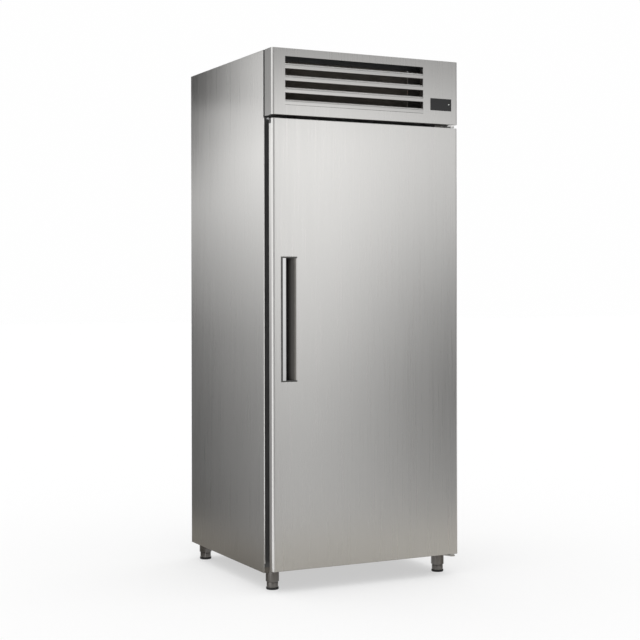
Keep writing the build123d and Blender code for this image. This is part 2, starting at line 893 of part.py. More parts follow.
# Magnetic gasket, on the edge frame
with BuildPart() as door_gasket:
    with BuildSketch(facing_rear(door_back)):
        add(door_ring(gasket_inset + (gasket_width - gasket_base_width) / 2, gasket_base_width))
    extrude(amount=gasket_base)
    with BuildSketch(facing_rear(door_back + gasket_base)):
        add(door_ring(gasket_inset + (gasket_width - gasket_neck_width) / 2, gasket_neck_width))
    extrude(amount=gasket_neck)
    with BuildSketch(facing_rear(door_back + gasket_base + gasket_neck)):
        add(door_ring(gasket_inset, gasket_width))
    extrude(amount=gasket_head)
    chamfer(door_gasket.faces().sort_by(Axis.Y)[-1].edges(), gasket_round)
write(door_gasket, "door_gasket")

# Handle tray, the black moulded pocket with its two end caps
with BuildPart() as handle_tray:
    grip_left = handle_left + tray_rim
    with BuildSketch(Plane.XY.offset(handle_floor)):
        with BuildLine():
            Polyline(
                (handle_left, front),
                (grip_left, front),
                (grip_left, front + grip_gauge),
                (grip_left + grip_seat, front + grip_gauge),
                (grip_left + grip_seat, front + handle_depth),
                (roll_left, front + handle_depth),
                (roll_left, roll_back),
                (roll_left + tray_wall, roll_back),
                (roll_left + tray_wall, handle_back),
                (handle_left, handle_back),
                close=True,
            )
        make_face()
    extrude(amount=handle_height)
    for cap_floor in (handle_floor, handle_top - handle_cap):
        block((handle_left, handle_right), (front, handle_back), (cap_floor, cap_floor + handle_cap))
write(handle_tray, "handle_tray")

# Handle grip, the bright strip that the fingers hook behind
with BuildPart() as handle_grip:
    with BuildSketch(Plane.XY.offset(handle_floor + handle_cap)):
        grip_right = handle_left + tray_rim + grip_width
        grip_path = [
            (handle_left + tray_rim, front),
            (grip_right, front),
            (grip_right, front + grip_lip),
        ]
        add(folded(grip_path, grip_bend, grip_gauge, Side.LEFT))
    extrude(amount=handle_height - 2 * handle_cap)
write(handle_grip, "handle_grip")

# Leg tubes, studded into the base panel
with BuildPart() as leg_tubes:
    for x, y in foot_places:
        with Locations((x, y, cabinet_floor)):
            Cylinder(leg_radius, leg_drop, align=hang)
            Cylinder(stud_radius, stud_reach, align=stand)
        with Locations((x, y, cabinet_floor - leg_drop)):
            Cylinder(foot_radius + foot_clearance, leg_drop - leg_cap, align=stand, mode=Mode.SUBTRACT)
    rims = leg_tubes.faces().group_by(Axis.Z)[0]
    chamfer([rim.outer_wire().edges()[0] for rim in rims], leg_chamfer)
write(leg_tubes, "leg_tubes")

# Screw feet and their rubber pads
foot_names = ("front_left", "front_right", "rear_left", "rear_right")
for name, (x, y) in zip(foot_names, foot_places):
    with BuildPart() as screw_foot:
        sleeve_top = cabinet_floor - leg_cap
        groove_top = cabinet_floor - leg_drop - groove_drop
        with BuildSketch(facing_front(y)):
            with BuildLine():
                Polyline(
                    (x, pad_height),
                    (x + foot_radius, pad_height),
                    (x + foot_radius, groove_top - groove_width),
                    (x + foot_radius - groove_depth, groove_top - groove_width / 2),
                    (x + foot_radius, groove_top),
                    (x + foot_radius, sleeve_top),
                    (x, sleeve_top),
                    close=True,
                )
            make_face()
        revolve(axis=Axis((x, y, 0), (0, 0, 1)))
    write(screw_foot, f"foot_{name}")

    with BuildPart() as pad:
        with Locations((x, y, 0)):
            Cylinder(foot_radius, pad_height, align=stand)
        fillet(pad.edges().group_by(Axis.Z)[0], pad_round)
    write(pad, f"pad_{name}")

# Rack posts, slotted channels against the liner's side walls
with BuildPart() as rack_posts:
    with BuildSketch(Plane.XY.offset(rack_floor)):
        for y in (-rack_offset, rack_offset):
            rack_path = [
                (inner_half, y - rack_face / 2),
                (rack_x, y - rack_face / 2),
                (rack_x, y + rack_face / 2),
                (inner_half, y + rack_face / 2),
            ]
            add(folded(rack_path, rack_bend, rack_sheet, Side.RIGHT))
    extrude(amount=rack_top - rack_floor)
    with BuildSketch(Plane.YZ.offset(rack_x)):
        for level in slot_levels:
            with Locations((-rack_offset, level), (rack_offset, level)):
                Rectangle(slot_width, slot_height)
    extrude(amount=rack_sheet, mode=Mode.SUBTRACT)
    mirror(about=Plane.YZ)
write(rack_posts, "rack_posts")

# Shelf runners, angles whose hooks sit in the posts' slots
with BuildPart() as shelf_runners:
    for runner_floor, slot in zip(runner_floors, runner_slots):
        with BuildSketch(facing_rear(-runner_length / 2)):
            runner_path = [
                (rack_x, -runner_floor - runner_rise),
                (rack_x, -runner_floor),
                (rack_x - runner_leg, -runner_floor),
            ]
            add(folded(runner_path, runner_bend, runner_sheet, Side.LEFT))
        extrude(amount=runner_length)
        with BuildSketch(Plane.YZ.offset(rack_x)):
            with Locations((-rack_offset, slot_levels[slot]), (rack_offset, slot_levels[slot])):
                Rectangle(slot_width - 2 * slot_play, slot_height - 2 * slot_play)
        extrude(amount=hook_reach)
    mirror(about=Plane.YZ)
write(shelf_runners, "shelf_runners")

# Wire shelves, each a rim with cross wires welded on top
with BuildPart() as wire_shelves:
    for runner_floor in runner_floors:
        rim_level = runner_floor + runner_sheet + rim_wire
        rim_x = shelf_half - rim_wire
        rim_y = shelf_depth / 2 - rim_wire
        with BuildLine(Plane.XY.offset(rim_level)) as rim:
            corners = [(-rim_x, -rim_y), (rim_x, -rim_y), (rim_x, rim_y), (-rim_x, rim_y)]
            FilletPolyline(*corners, close=True, radius=rim_corner)
        with BuildSketch(Plane(origin=rim.wire() @ 0, x_dir=(0, 0, 1), z_dir=rim.wire() % 0)):
            RegularPolygon(rim_wire, 8, major_radius=False, rotation=22.5)
        sweep(path=rim.wire())
        with BuildSketch(Plane.YZ.offset(-rim_x)):
            with Locations((0, rim_level)):
                RegularPolygon(rim_wire, 8, major_radius=False, rotation=22.5)
        extrude(amount=2 * rim_x)
        with BuildSketch(facing_rear(-rim_y)):
            cross_level = rim_level + rim_wire + cross_wire - weld_depth
            with Locations((0, -cross_level)):
                with GridLocations(2 * shelf_half / (cross_count + 1), 1, cross_count, 1):
                    RegularPolygon(cross_wire, 6, major_radius=False)
        extrude(amount=2 * rim_y)
write(wire_shelves, "wire_shelves")

# Evaporator cover, a folded tray with the fan hole below and outlet slots in front
with BuildPart() as evaporator_cover:
    with Locations((0, inner_rear, inner_top)):
        cover_align = (Align.CENTER, Align.MAX, Align.MAX)
        Box(evaporator_width, evaporator_depth, evaporator_height, align=cover_align)
    floor_edges = evaporator_cover.faces().sort_by(Axis.Z)[0].edges()
    fillet(floor_edges.sort_by(Axis.Y)[:3], evaporator_bend)
    open_faces = [evaporator_cover.faces().sort_by(axis)[-1] for axis in (Axis.Y, Axis.Z)]
    offset(amount=-evaporator_sheet, openings=open_faces)
    with Locations((0, evaporator_fan_y, evaporator_floor + evaporator_sheet)):
        Hole(evaporator_hole, depth=evaporator_sheet)
    with BuildSketch(facing_front(evaporator_front)):
        with Locations((0, evaporator_floor + evaporator_height / 2)):
            with GridLocations(outlet_pitch, 1, outlet_count, 1):
                Rectangle(outlet_width, outlet_height)
    extrude(amount=-evaporator_sheet, mode=Mode.SUBTRACT)
write(evaporator_cover, "evaporator_cover")

# Evaporator coil, hung from the ceiling by its end plates
with BuildPart() as evaporator_coil:
    with BuildSketch(Plane.XY.offset(inner_top - evaporator_coil_height)):
        with Locations((0, evaporator_coil_y)):
            Rectangle(evaporator_coil_width, evaporator_coil_depth - 2 * fin_depth)
            with GridLocations(fin_pitch, 1, int(evaporator_coil_width / fin_pitch), 1):
                Rectangle(fin_gauge, evaporator_coil_depth)
    extrude(amount=evaporator_coil_height - coil_lift)
    for side in (-1, 1):
        with Locations((side * (evaporator_coil_width + coil_plate) / 2, evaporator_coil_y, inner_top)):
            Box(coil_plate, evaporator_coil_depth, evaporator_coil_height, align=hang)
write(evaporator_coil, "evaporator_coil")

# Evaporator fan: the rotor blows down through the guard, and its motor hangs from the ceiling
evaporator_hub = Plane(origin=(0, evaporator_fan_y, evaporator_rotor_z))
with BuildPart() as evaporator_fan_blades:
    add(fan_rotor(evaporator_hub, evaporator_fan_radius))
write(evaporator_fan_blades, "evaporator_fan_blades")

with BuildPart() as evaporator_fan_motor:
    motor_floor = evaporator_rotor_z + hub_length + motor_gap
    with Locations((0, evaporator_fan_y, motor_floor)):
        Cylinder(motor_radius, evaporator_motor_height, align=stand)
    with Locations((0, evaporator_fan_y, inner_top)):
        Cylinder(motor_post_radius, inner_top - motor_floor - evaporator_motor_height, align=hang)
    with Locations((0, evaporator_fan_y, motor_floor)):
        Cylinder(bore_radius, shaft_reach + shaft_end_gap, align=stand, mode=Mode.SUBTRACT)
write(evaporator_fan_motor, "evaporator_fan_motor")

with BuildPart() as fan_guard:
    guard_radius = evaporator_hole + 2 * guard_wire
    with BuildSketch(Plane.XY.offset(evaporator_floor)):
        with Locations((0, evaporator_fan_y)):
            for ring in range(guard_rings, 0, -1):
                Circle(guard_radius * ring / guard_rings)
                Circle(guard_radius * ring / guard_rings - guard_wire, mode=Mode.SUBTRACT)
            with PolarLocations(guard_radius / 2, guard_spokes):
                Rectangle(guard_radius - guard_wire, guard_wire)
    extrude(amount=-guard_wire)
write(fan_guard, "fan_guard")

# Unit tray, the pan on the roof deck that carries the refrigeration unit
with BuildPart() as unit_tray:
    with Locations((0, (unit_front + rear - tray_gap) / 2, header_floor)):
        Box(2 * (half - tray_gap), rear - tray_gap - unit_front, tray_edge, align=stand)
    fillet(unit_tray.edges().filter_by(Axis.Z), tray_radius)
    offset(amount=-tray_sheet, openings=unit_tray.faces().sort_by(Axis.Z)[-1])
    with Locations((pipe_x, pipe_y, unit_floor)):
        Hole(pipe_radius, depth=tray_sheet)
write(unit_tray, "unit_tray")

# Condenser coil, a finned block between two end plates that stand on the tray
with BuildPart() as condenser_coil:
    with BuildSketch(Plane.XY.offset(coil_floor)):
        with Locations((coil_shift, coil_y)):
            Rectangle(coil_width, coil_depth - 2 * fin_depth)
            with GridLocations(fin_pitch, 1, int(coil_width / fin_pitch), 1):
                Rectangle(fin_gauge, coil_depth)
    extrude(amount=coil_height)
    for side in (-1, 1):
        with Locations((coil_shift + side * (coil_width + coil_plate) / 2, coil_y, unit_floor)):
            Box(coil_plate, coil_depth, coil_lift + coil_height, align=stand)
write(condenser_coil, "condenser_coil")

# Return bends of the condenser, which join its tube rows in turn
with BuildPart() as condenser_tubes:
    for row in range(tube_rows - 1):
        side = 1 if row % 2 else -1
        bend_x = coil_shift + side * (coil_width / 2 + coil_plate)
        start_level = tube_levels[row + 1] if side > 0 else tube_levels[row]
        with BuildSketch(Plane.YZ.offset(bend_x)):
            with Locations((coil_y, start_level)):
                RegularPolygon(tube_radius, 8)
        middle = (bend_x, coil_y, (tube_levels[row] + tube_levels[row + 1]) / 2)
        revolve(axis=Axis(middle, (0, 1, 0)), revolution_arc=180)
write(condenser_tubes, "condenser_tubes")

# Fan shroud behind the coil, with a collar round the fan
with BuildPart() as fan_shroud:
    fan_hole = condenser_fan_radius + fan_tip_gap
    with BuildSketch(facing_rear(coil_rear)):
        with Locations((coil_shift, -(unit_floor + coil_floor + coil_height) / 2)):
            Rectangle(coil_width + 2 * coil_plate, coil_lift + coil_height)
        with Locations((coil_shift, -coil_middle)):
            Circle(fan_hole, mode=Mode.SUBTRACT)
    extrude(amount=shroud_sheet)
    with BuildSketch(facing_rear(shroud_rear)):
        with Locations((coil_shift, -coil_middle)):
            Circle(fan_hole + shroud_sheet)
            Circle(fan_hole, mode=Mode.SUBTRACT)
    extrude(amount=collar_depth)
write(fan_shroud, "fan_shroud")

# Condenser fan: the rotor turns inside the collar
fan_facing = dict(x_dir=(1, 0, 0), z_dir=(0, 1, 0))
condenser_hub = Plane(origin=(coil_shift, condenser_hub_y, coil_middle), **fan_facing)
with BuildPart() as condenser_fan_blades:
    add(fan_rotor(condenser_hub, condenser_fan_radius))
write(condenser_fan_blades, "condenser_fan_blades")

# Fan motor, held by arms that reach forward past the collar to the shroud
with BuildPart() as condenser_fan_motor:
    motor_plane = Plane(origin=(coil_shift, condenser_motor_y, coil_middle), **fan_facing)
    with BuildSketch(motor_plane):
        Circle(motor_radius)
    extrude(amount=motor_length)
    fillet(condenser_fan_motor.faces().sort_by(Axis.Y)[-1].edges(), motor_round)
    arm_reach = fan_hole + shroud_sheet + motor_arm_gap
    for index in range(arm_count):
        with Locations(motor_plane.location * Rot(Z=90 + index * 360 / arm_count)):
            with Locations((arm_reach / 2, 0, 0)):
                Box(arm_reach, motor_arm_width, motor_arm_gauge, align=stand)
            with Locations((arm_reach + motor_arm_gauge / 2, 0, motor_arm_gauge)):
                leg = condenser_motor_y + motor_arm_gauge - shroud_rear
                Box(motor_arm_gauge, motor_arm_width, leg, align=hang)
    with Locations(motor_plane):
        Cylinder(bore_radius, shaft_reach + shaft_end_gap, align=stand, mode=Mode.SUBTRACT)
write(condenser_fan_motor, "condenser_fan_motor")

# Compressor, a welded shell on a plate with four rubber grommets
with BuildPart() as compressor_shell:
    with BuildSketch(facing_front(compressor_y)):
        with BuildLine():
            FilletPolyline(
                (compressor_x, compressor_floor),
                (compressor_x + compressor_radius, compressor_floor),
                (compressor_x + compressor_radius, compressor_floor + compressor_height),
                (compressor_x, compressor_floor + compressor_height),
                radius=[compressor_lower_round, compressor_upper_round],
            )
            Line((compressor_x, compressor_floor + compressor_height), (compressor_x, compressor_floor))
        make_face()
    revolve(axis=Axis((compressor_x, compressor_y, 0), (0, 0, 1)))
    with Locations((compressor_x, compressor_y, compressor_floor + compressor_height / 2)):
        Cylinder(weld_ring_radius, weld_ring_height)
write(compressor_shell, "compressor_shell")

grommet_spacing = (plate_length - 2 * grommet_inset, plate_width - 2 * grommet_inset)
with BuildPart() as compressor_base:
    with BuildSketch(Plane.XY.offset(compressor_floor)):
        with Locations((compressor_x, compressor_y)):
            RectangleRounded(plate_length, plate_width, plate_round)
    extrude(amount=-plate_gauge)
write(compressor_base, "compressor_base")

with BuildPart() as compressor_grommets:
    with Locations((compressor_x, compressor_y, unit_floor)):
        with GridLocations(*grommet_spacing, 2, 2):
            Cylinder(grommet_radius, grommet_height, align=stand)
            with Locations((0, 0, grommet_height / 2)):
                Torus(grommet_radius, grommet_groove, mode=Mode.SUBTRACT)
write(compressor_grommets, "compressor_grommets")

# Terminal cover, on the compressor's side towards the electrical box
with BuildPart() as terminal_cover:
    cover_left = compressor_x - compressor_radius - cover_depth
    cover_middle = compressor_floor + compressor_height / 2
    block(
        (cover_left, compressor_x - compressor_radius / 2),
        (compressor_y - cover_width / 2, compressor_y + cover_width / 2),
        (cover_middle - cover_height / 2, cover_middle + cover_height / 2),
    )
    fillet(terminal_cover.faces().sort_by(Axis.X)[0].edges(), cover_round)
    add(compressor_shell.part, mode=Mode.SUBTRACT)
write(terminal_cover, "terminal_cover")

# Refrigerant pipes: discharge, liquid, capillary and suction
drier_z = tube_levels[0]
coil_outlet = coil_end + coil_plate
discharge_y = compressor_y - compressor_radius - pipe_stand
capillary_x = compressor_x + plate_length / 2 + capillary_gap
pipe_runs = [
    (
        pipe_radius,
        [
            (compressor_x, compressor_y - compressor_radius, discharge_z),
            (compressor_x, discharge_y, discharge_z),
            (pipe_x, discharge_y, discharge_z),
            (pipe_x, coil_y, discharge_z),
            (pipe_x, coil_y, tube_levels[-1]),
            (coil_outlet, coil_y, tube_levels[-1]),
        ],
    ),
    (
        pipe_radius,
        [
            (coil_outlet, coil_y, drier_z),
            (pipe_x, coil_y, drier_z),
            (pipe_x, drier_start, drier_z),
        ],
    ),
    (
        capillary_radius,
        [
            (pipe_x, drier_end, drier_z),
            (pipe_x, drier_end + pipe_stand, drier_z),
            (capillary_x, drier_end + pipe_stand, drier_z),
            (capillary_x, pipe_y, drier_z),
            (pipe_x + pipe_radius, pipe_y, drier_z),
        ],
    ),
    (
        pipe_radius,
        [
            (evaporator_coil_width / 2 + coil_plate, pipe_y, evaporator_pipe_z),
            (pipe_x, pipe_y, evaporator_pipe_z),
            (pipe_x, pipe_y, suction_level),
            (compressor_x, pipe_y, suction_level),
            (compressor_x, compressor_y + compressor_radius, suction_level),
        ],
    ),
]
with BuildPart() as refrigerant_pipes:
    for radius, points in pipe_runs:
        with BuildLine() as run:
            FilletPolyline(*points, radius=pipe_bend)
        with BuildSketch(Plane(origin=run.wire() @ 0, z_dir=run.wire() % 0)):
            RegularPolygon(radius, 8)
        sweep(path=run.wire())
write(refrigerant_pipes, "refrigerant_pipes")

# Filter drier in the liquid line, tapered to the pipe at both ends
with BuildPart() as filter_drier:
    with BuildSketch(Plane.XY.offset(drier_z)):
        with BuildLine():
            Polyline(
                (pipe_x, drier_start),
                (pipe_x + pipe_radius, drier_start),
                (pipe_x + drier_radius, drier_start + drier_radius),
                (pipe_x + drier_radius, drier_end - drier_radius),
                (pipe_x + pipe_radius, drier_end),
                (pipe_x, drier_end),
                close=True,
            )
        make_face()
    revolve(axis=Axis((pipe_x, 0, drier_z), (0, 1, 0)))
write(filter_drier, "filter_drier")

# Electrical box with the gland for the power cord
with BuildPart() as electrical_box:
    with Locations((box_x, box_y, unit_floor)):
        Box(box_width, box_length, box_height, align=stand)
    fillet(electrical_box.edges().filter_by(Axis.Z), box_round)
    with BuildSketch(Plane.XY.offset(unit_floor + box_height)):
        with Locations((box_x, box_y)):
            RectangleRounded(box_width - 2 * box_lid_step, box_length - 2 * box_lid_step, box_round)
    extrude(amount=box_lid)
write(electrical_box, "electrical_box")

with BuildPart() as cable_gland:
    with BuildSketch(facing_rear(box_y + box_length / 2)):
        with Locations((box_x, -(unit_floor + box_height / 2))):
            RegularPolygon(gland_radius, 6, major_radius=False)
            Circle(gland_bore, mode=Mode.SUBTRACT)
    extrude(amount=gland_length / 2)
    with BuildSketch(facing_rear(box_y + box_length / 2 + gland_length / 2)):
        with Locations((box_x, -(unit_floor + box_height / 2))):
            Circle(gland_collar_radius)
            Circle(gland_bore, mode=Mode.SUBTRACT)
    extrude(amount=gland_length / 2)
write(cable_gland, "cable_gland")
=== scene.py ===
# %% [markdown]
# # An upright freezer in brushed stainless steel
#
# The object is a tall cabinet for a commercial kitchen: one door hinged on the right, a header with a louvre
# and a small controller, and the refrigeration unit in an open space behind that header. Its solid model is
# already made and packed. This lesson gives it the looks: the camera, the finishes, the fine pieces that a
# solid model leaves out, and the studio.
#
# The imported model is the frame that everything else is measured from, so it is loaded first. Its nodes keep
# their places and shapes, and get new materials.

# %% Load the frame
import json
import math

import bmesh
import bpy
from mathutils import Matrix, Vector


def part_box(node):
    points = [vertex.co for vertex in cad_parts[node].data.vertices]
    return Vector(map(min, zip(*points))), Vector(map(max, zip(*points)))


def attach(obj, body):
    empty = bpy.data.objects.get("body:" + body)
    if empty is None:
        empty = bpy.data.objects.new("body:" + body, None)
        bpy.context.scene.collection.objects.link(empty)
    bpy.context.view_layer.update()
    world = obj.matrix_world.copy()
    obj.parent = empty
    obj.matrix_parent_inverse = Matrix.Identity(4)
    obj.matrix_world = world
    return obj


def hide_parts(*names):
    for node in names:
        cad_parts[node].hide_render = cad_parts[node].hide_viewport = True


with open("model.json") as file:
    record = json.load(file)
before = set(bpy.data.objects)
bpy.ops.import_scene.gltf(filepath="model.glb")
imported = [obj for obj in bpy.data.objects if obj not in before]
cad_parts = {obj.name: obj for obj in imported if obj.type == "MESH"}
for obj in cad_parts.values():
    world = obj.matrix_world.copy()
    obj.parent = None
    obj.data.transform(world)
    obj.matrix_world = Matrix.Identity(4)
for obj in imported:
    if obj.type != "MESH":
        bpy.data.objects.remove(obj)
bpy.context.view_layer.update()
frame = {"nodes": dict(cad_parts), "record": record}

nodes = frame["nodes"]

# %% [markdown]
# ## Camera
#
# The photograph is a product shot from the left front, taken from chest height with a long lens, so the
# cabinet's uprights stay nearly parallel. The camera's place and lens come from the cabinet's own corners:
# their places in millimetres are known, and so are their places in the picture. The small vertical shift is
# the picture's crop. No depth of field is used, because such shots are sharp all over.

# %% Camera
camera_data = bpy.data.cameras.new("camera")
camera_data.sensor_width = 36
camera_data.lens = 78.267
picture_side, crop_shift = 640, 30  # pixels
camera_data.shift_y = -crop_shift / picture_side
camera_data.clip_end = 200
camera = bpy.data.objects.new("camera", camera_data)
camera.location = (-2.5345, -5.0084, 1.1142)
camera.rotation_euler = (math.radians(89.970), math.radians(0.102), math.radians(-26.822))
bpy.context.scene.collection.objects.link(camera)
bpy.context.scene.camera = camera
print("camera", [round(v, 3) for v in camera.location], "lens", camera_data.lens)

# %% [markdown]
# ## Helpers for finishes
#
# Every finish below is made of shader nodes. Colours are written as sRGB hex, as a paint chart gives them,
# and one function turns them into the linear values that Blender calculates with. Another adds a node, sets
# it up and links it, and a third starts a material. Patterns read Object coordinates, which are metres on the
# real object, so a scale is simply how many repeats fit in one metre. The last ones make noise, stretch a
# range of values, and give a finish to the nodes of a slot.

# %% Helpers for finishes
def linear(chip, shade=1.0):
    """An sRGB hex colour as linear RGBA, made darker or paler by a factor."""
    values = [int(chip[i:i + 2], 16) / 255 for i in (1, 3, 5)]
    values = [v / 12.92 if v <= 0.04045 else ((v + 0.055) / 1.055) ** 2.4 for v in values]
    return [min(1.0, v * shade) for v in values] + [1.0]


def add_node(tree, kind, links=None, **settings):
    """Add a shader node. Settings are its properties or input values, and links join sockets to inputs."""
    node = tree.nodes.new("ShaderNode" + kind)
    for name, value in settings.items():
        if hasattr(node, name):
            setattr(node, name, value)
        else:
            node.inputs[name.replace("_", " ")].default_value = value
    for name, socket in (links or {}).items():
        tree.links.new(socket, node.inputs[name])
    return node


def start_material(name, **values):
    """A material with one Principled shader. Values go straight onto the shader's own sockets."""
    material = bpy.data.materials.new(name)
    material.use_nodes = True
    shader = material.node_tree.nodes["Principled BSDF"]
    for socket, value in values.items():
        shader.inputs[socket.replace("_", " ")].default_value = value
    return material, material.node_tree, shader


def repeats(millimetres):
    """How many times a pattern of this size fits in one metre."""
    return 1000 / millimetres


def object_place(tree):
    """Where a point lies on the object, in metres."""
    return add_node(tree, "TexCoord").outputs["Object"]


def noise(tree, place, size, detail=2.0, roughness=0.5):
    """Soft noise with features of a size in millimetres."""
    node = add_node(tree, "TexNoise", {"Vector": place}, Scale=repeats(size),
                    Detail=detail, Roughness=roughness)
    return node.outputs["Fac"]


def remap(tree, value, start=0.0, end=1.0, low=0.0, high=1.0, **settings):
    """Stretch a range of values, from start and end to low and high."""
    node = add_node(tree, "MapRange", {"Value": value}, From_Min=start, From_Max=end,
                    To_Min=low, To_Max=high, **settings)
    return node.outputs["Result"]


def dress(slot, material):
    """Give every node of one of the record's slots this material."""
    dressed = [s["node"] for s in frame["record"]["subparts"] if s["material_slot"] == slot]
    for name in dressed:
        for place in nodes[name].material_slots:
            place.material = material
    print(slot, "->", material.name, "on", len(dressed), "nodes")

# %% [markdown]
# ## Brushed stainless steel
#
# The casing is AISI 304 sheet, brushed on a belt so that fine grooves run one way. Each groove is a few
# hundredths of a millimetre wide, far too fine for the picture, but together they do two things that the
# eye reads at once: they smear each reflection across the grain, and they leave faint streaks along it.
#
# The smear is the shader's own anisotropy, turned by a radial tangent. The streaks could be an image, but a
# noise texture that is stretched a hundred times along the grain gives them at any size. They are drawn
# 3 mm wide, because a pixel of the picture is nearly that. A slow second noise stands for the slight
# waviness of 1 mm sheet.

# %% Brushed stainless steel
def brushed_steel(name, tint, grain="up", roughness=0.3, anisotropy=0.5, streak=3.0,
                  bend=None, return_shade=1.0):
    """Stainless steel whose grain runs up, across the cabinet, or around an upright turned piece.

    Folds can be rounded to a bend radius in metres. Returns that face sideways can get painted shade.
    """
    material, tree, shader = start_material(
        name, Metallic=1.0, Anisotropic=anisotropy, Anisotropic_Rotation=0.0 if grain == "up" else 0.25
    )
    place = object_place(tree)
    across, along = repeats(streak), repeats(streak * 130)
    stretch = {
        "up": (across, across, along),
        "across": (along, across, across),
        "around": (along, along, across),
    }[grain]
    stretched = add_node(tree, "Mapping", {"Vector": place}, Scale=stretch).outputs["Vector"]
    streaks = noise(tree, stretched, 1000, 4.0, 0.62)  # its size is in the stretch
    waves = noise(tree, place, 420, 1.0)

    colour = add_node(tree, "Mix", {"Factor": remap(tree, streaks, 0.3, 0.7)}, data_type="RGBA")
    colour.inputs[6].default_value, colour.inputs[7].default_value = linear(tint, 0.965), linear(tint)
    # Painted shade: faces that turn sideways, the returns, get their colour scaled down by return_shade.
    facing = add_node(tree, "SeparateXYZ", {"Vector": add_node(tree, "TexCoord").outputs["Normal"]})
    sideways = add_node(tree, "Math", {0: facing.outputs["X"]}, operation="ABSOLUTE").outputs[0]
    shade = remap(tree, sideways, 0.9, 0.98, 1.0, return_shade)
    shaded = add_node(tree, "VectorMath", {0: colour.outputs[2], "Scale": shade}, operation="SCALE")
    tree.links.new(shaded.outputs["Vector"], shader.inputs["Base Color"])
    gloss = remap(tree, streaks, 0.3, 0.7, roughness - 0.04, roughness + 0.04)
    tree.links.new(gloss, shader.inputs["Roughness"])

    grooves = add_node(tree, "Bump", {"Height": streaks}, Strength=0.03, Distance=0.0004)
    sheet = add_node(tree, "Bump", {"Height": waves, "Normal": grooves.outputs["Normal"]},
                     Strength=0.25, Distance=0.004)
    if bend:
        folds = add_node(tree, "Bevel", Radius=bend)
        tree.links.new(folds.outputs["Normal"], grooves.inputs["Normal"])
    tree.links.new(sheet.outputs["Normal"], shader.inputs["Normal"])
    tangent = add_node(tree, "Tangent", direction_type="RADIAL", axis="Z")
    tree.links.new(tangent.outputs["Tangent"], shader.inputs["Tangent"])
    return material


# The casing is a bright satin. It smears every reflection sideways, and its folds have a 3 mm bend.
casing_steel = brushed_steel("brushed_stainless_304", "#C8C7C5", bend=0.003)
dress("side_panels", casing_steel)
dress("door_steel", casing_steel)
# The base sheet faces the floor. Its steel is tinted much darker than the casing: painted shade for its
# underside.
dress("base_sheet", brushed_steel("brushed_stainless_base_shaded", "#6E6B68"))

# The header is a sheet of its own. Its side returns get painted shade: their colour is scaled to half.
dress("header_steel", brushed_steel("brushed_stainless_header", "#C2C1BF", return_shade=0.5))
# The louvre's blades are folded from strips with the grain along them, so light spreads up and down on them.
dress("louvre_steel", brushed_steel("brushed_stainless_louvre", "#C2C1BF", grain="across"))

# Hinge brackets and rack have a softer satin, with no clear reflection.
satin_steel = brushed_steel("satin_stainless_304", "#BDBBB8", roughness=0.34, anisotropy=0.4, streak=2.0)
for slot in ("hinge_steel", "rack_steel"):
    dress(slot, satin_steel)
# Legs and feet are turned. The tool's grooves run around them, so a highlight becomes an upright line.
# Their steel is tinted far darker than the casing: painted shade, low down under the cabinet.
foot_steel = brushed_steel("turned_stainless_feet_shaded", "#7F7C79", grain="around",
                           roughness=0.36, anisotropy=0.9, streak=1.5)
for slot in ("leg_steel", "foot_steel"):
    dress(slot, foot_steel)
# The liner and the door's inner panel are rolled with a fine linen pattern, and look milky and even.
liner_steel = brushed_steel("linen_stainless_liner", "#CFCDCA", roughness=0.36, anisotropy=0.3)
for slot in ("liner_steel", "inner_panel"):
    dress(slot, liner_steel)

# %% [markdown]
# ## Galvanised sheet
#
# The rear, the roof deck and the unit's tray are hot-dip galvanised steel. Zinc freezes in crystals, so the
# sheet shows spangle: flat grains of slightly different grey and gloss, about 8 mm across. Voronoi cells have
# the same straight borders and one value each, so they need no drawing. To the eye they give a cool, dull
# metal that glitters a little as one walks past.

# %% Galvanised sheet
def galvanised_sheet(name, spangle=8.0):
    """Hot-dipped sheet with spangle of a size in millimetres."""
    material, tree, shader = start_material(name, Metallic=1.0)
    grains = add_node(tree, "TexVoronoi", {"Vector": object_place(tree)}, Scale=repeats(spangle))
    tone = add_node(tree, "ValToRGB", {"Fac": grains.outputs["Color"]})
    tone.color_ramp.elements[0].color = linear("#9A9DA0")
    tone.color_ramp.elements[1].color = linear("#B6B9BC")
    tree.links.new(tone.outputs["Color"], shader.inputs["Base Color"])
    gloss = remap(tree, grains.outputs["Color"], low=0.43, high=0.54)
    tree.links.new(gloss, shader.inputs["Roughness"])
    bump = add_node(tree, "Bump", {"Height": grains.outputs["Distance"]}, Strength=0.1, Distance=0.001)
    tree.links.new(bump.outputs["Normal"], shader.inputs["Normal"])
    return material


zinc = galvanised_sheet("hot_dip_galvanised")
for slot in ("rear_sheet", "deck_sheet", "tray_sheet"):
    dress(slot, zinc)

# %% [markdown]
# ## Moulded plastics, rubber and paint
#
# The dull parts are of four kinds. ABS and PVC come out of a mould or a die with a fine grain, which breaks a
# reflection into a soft sheen. Rubber is darker and duller still. The sheet parts of the refrigeration unit
# are powder coated, which flows out to a slight orange peel. The wire of the shelves is dipped in plastic.
#
# To the eye each is one colour, so a flat colour is tempting, but that looks like paper. Each gets a grain in
# its gloss and its bump, and a slow change of tone, as hands and dust leave. One function makes them all.
#
# The grain of a mould is about 0.2 mm. It is drawn 1 to 2 mm wide here, since a pixel is 3.6 mm.

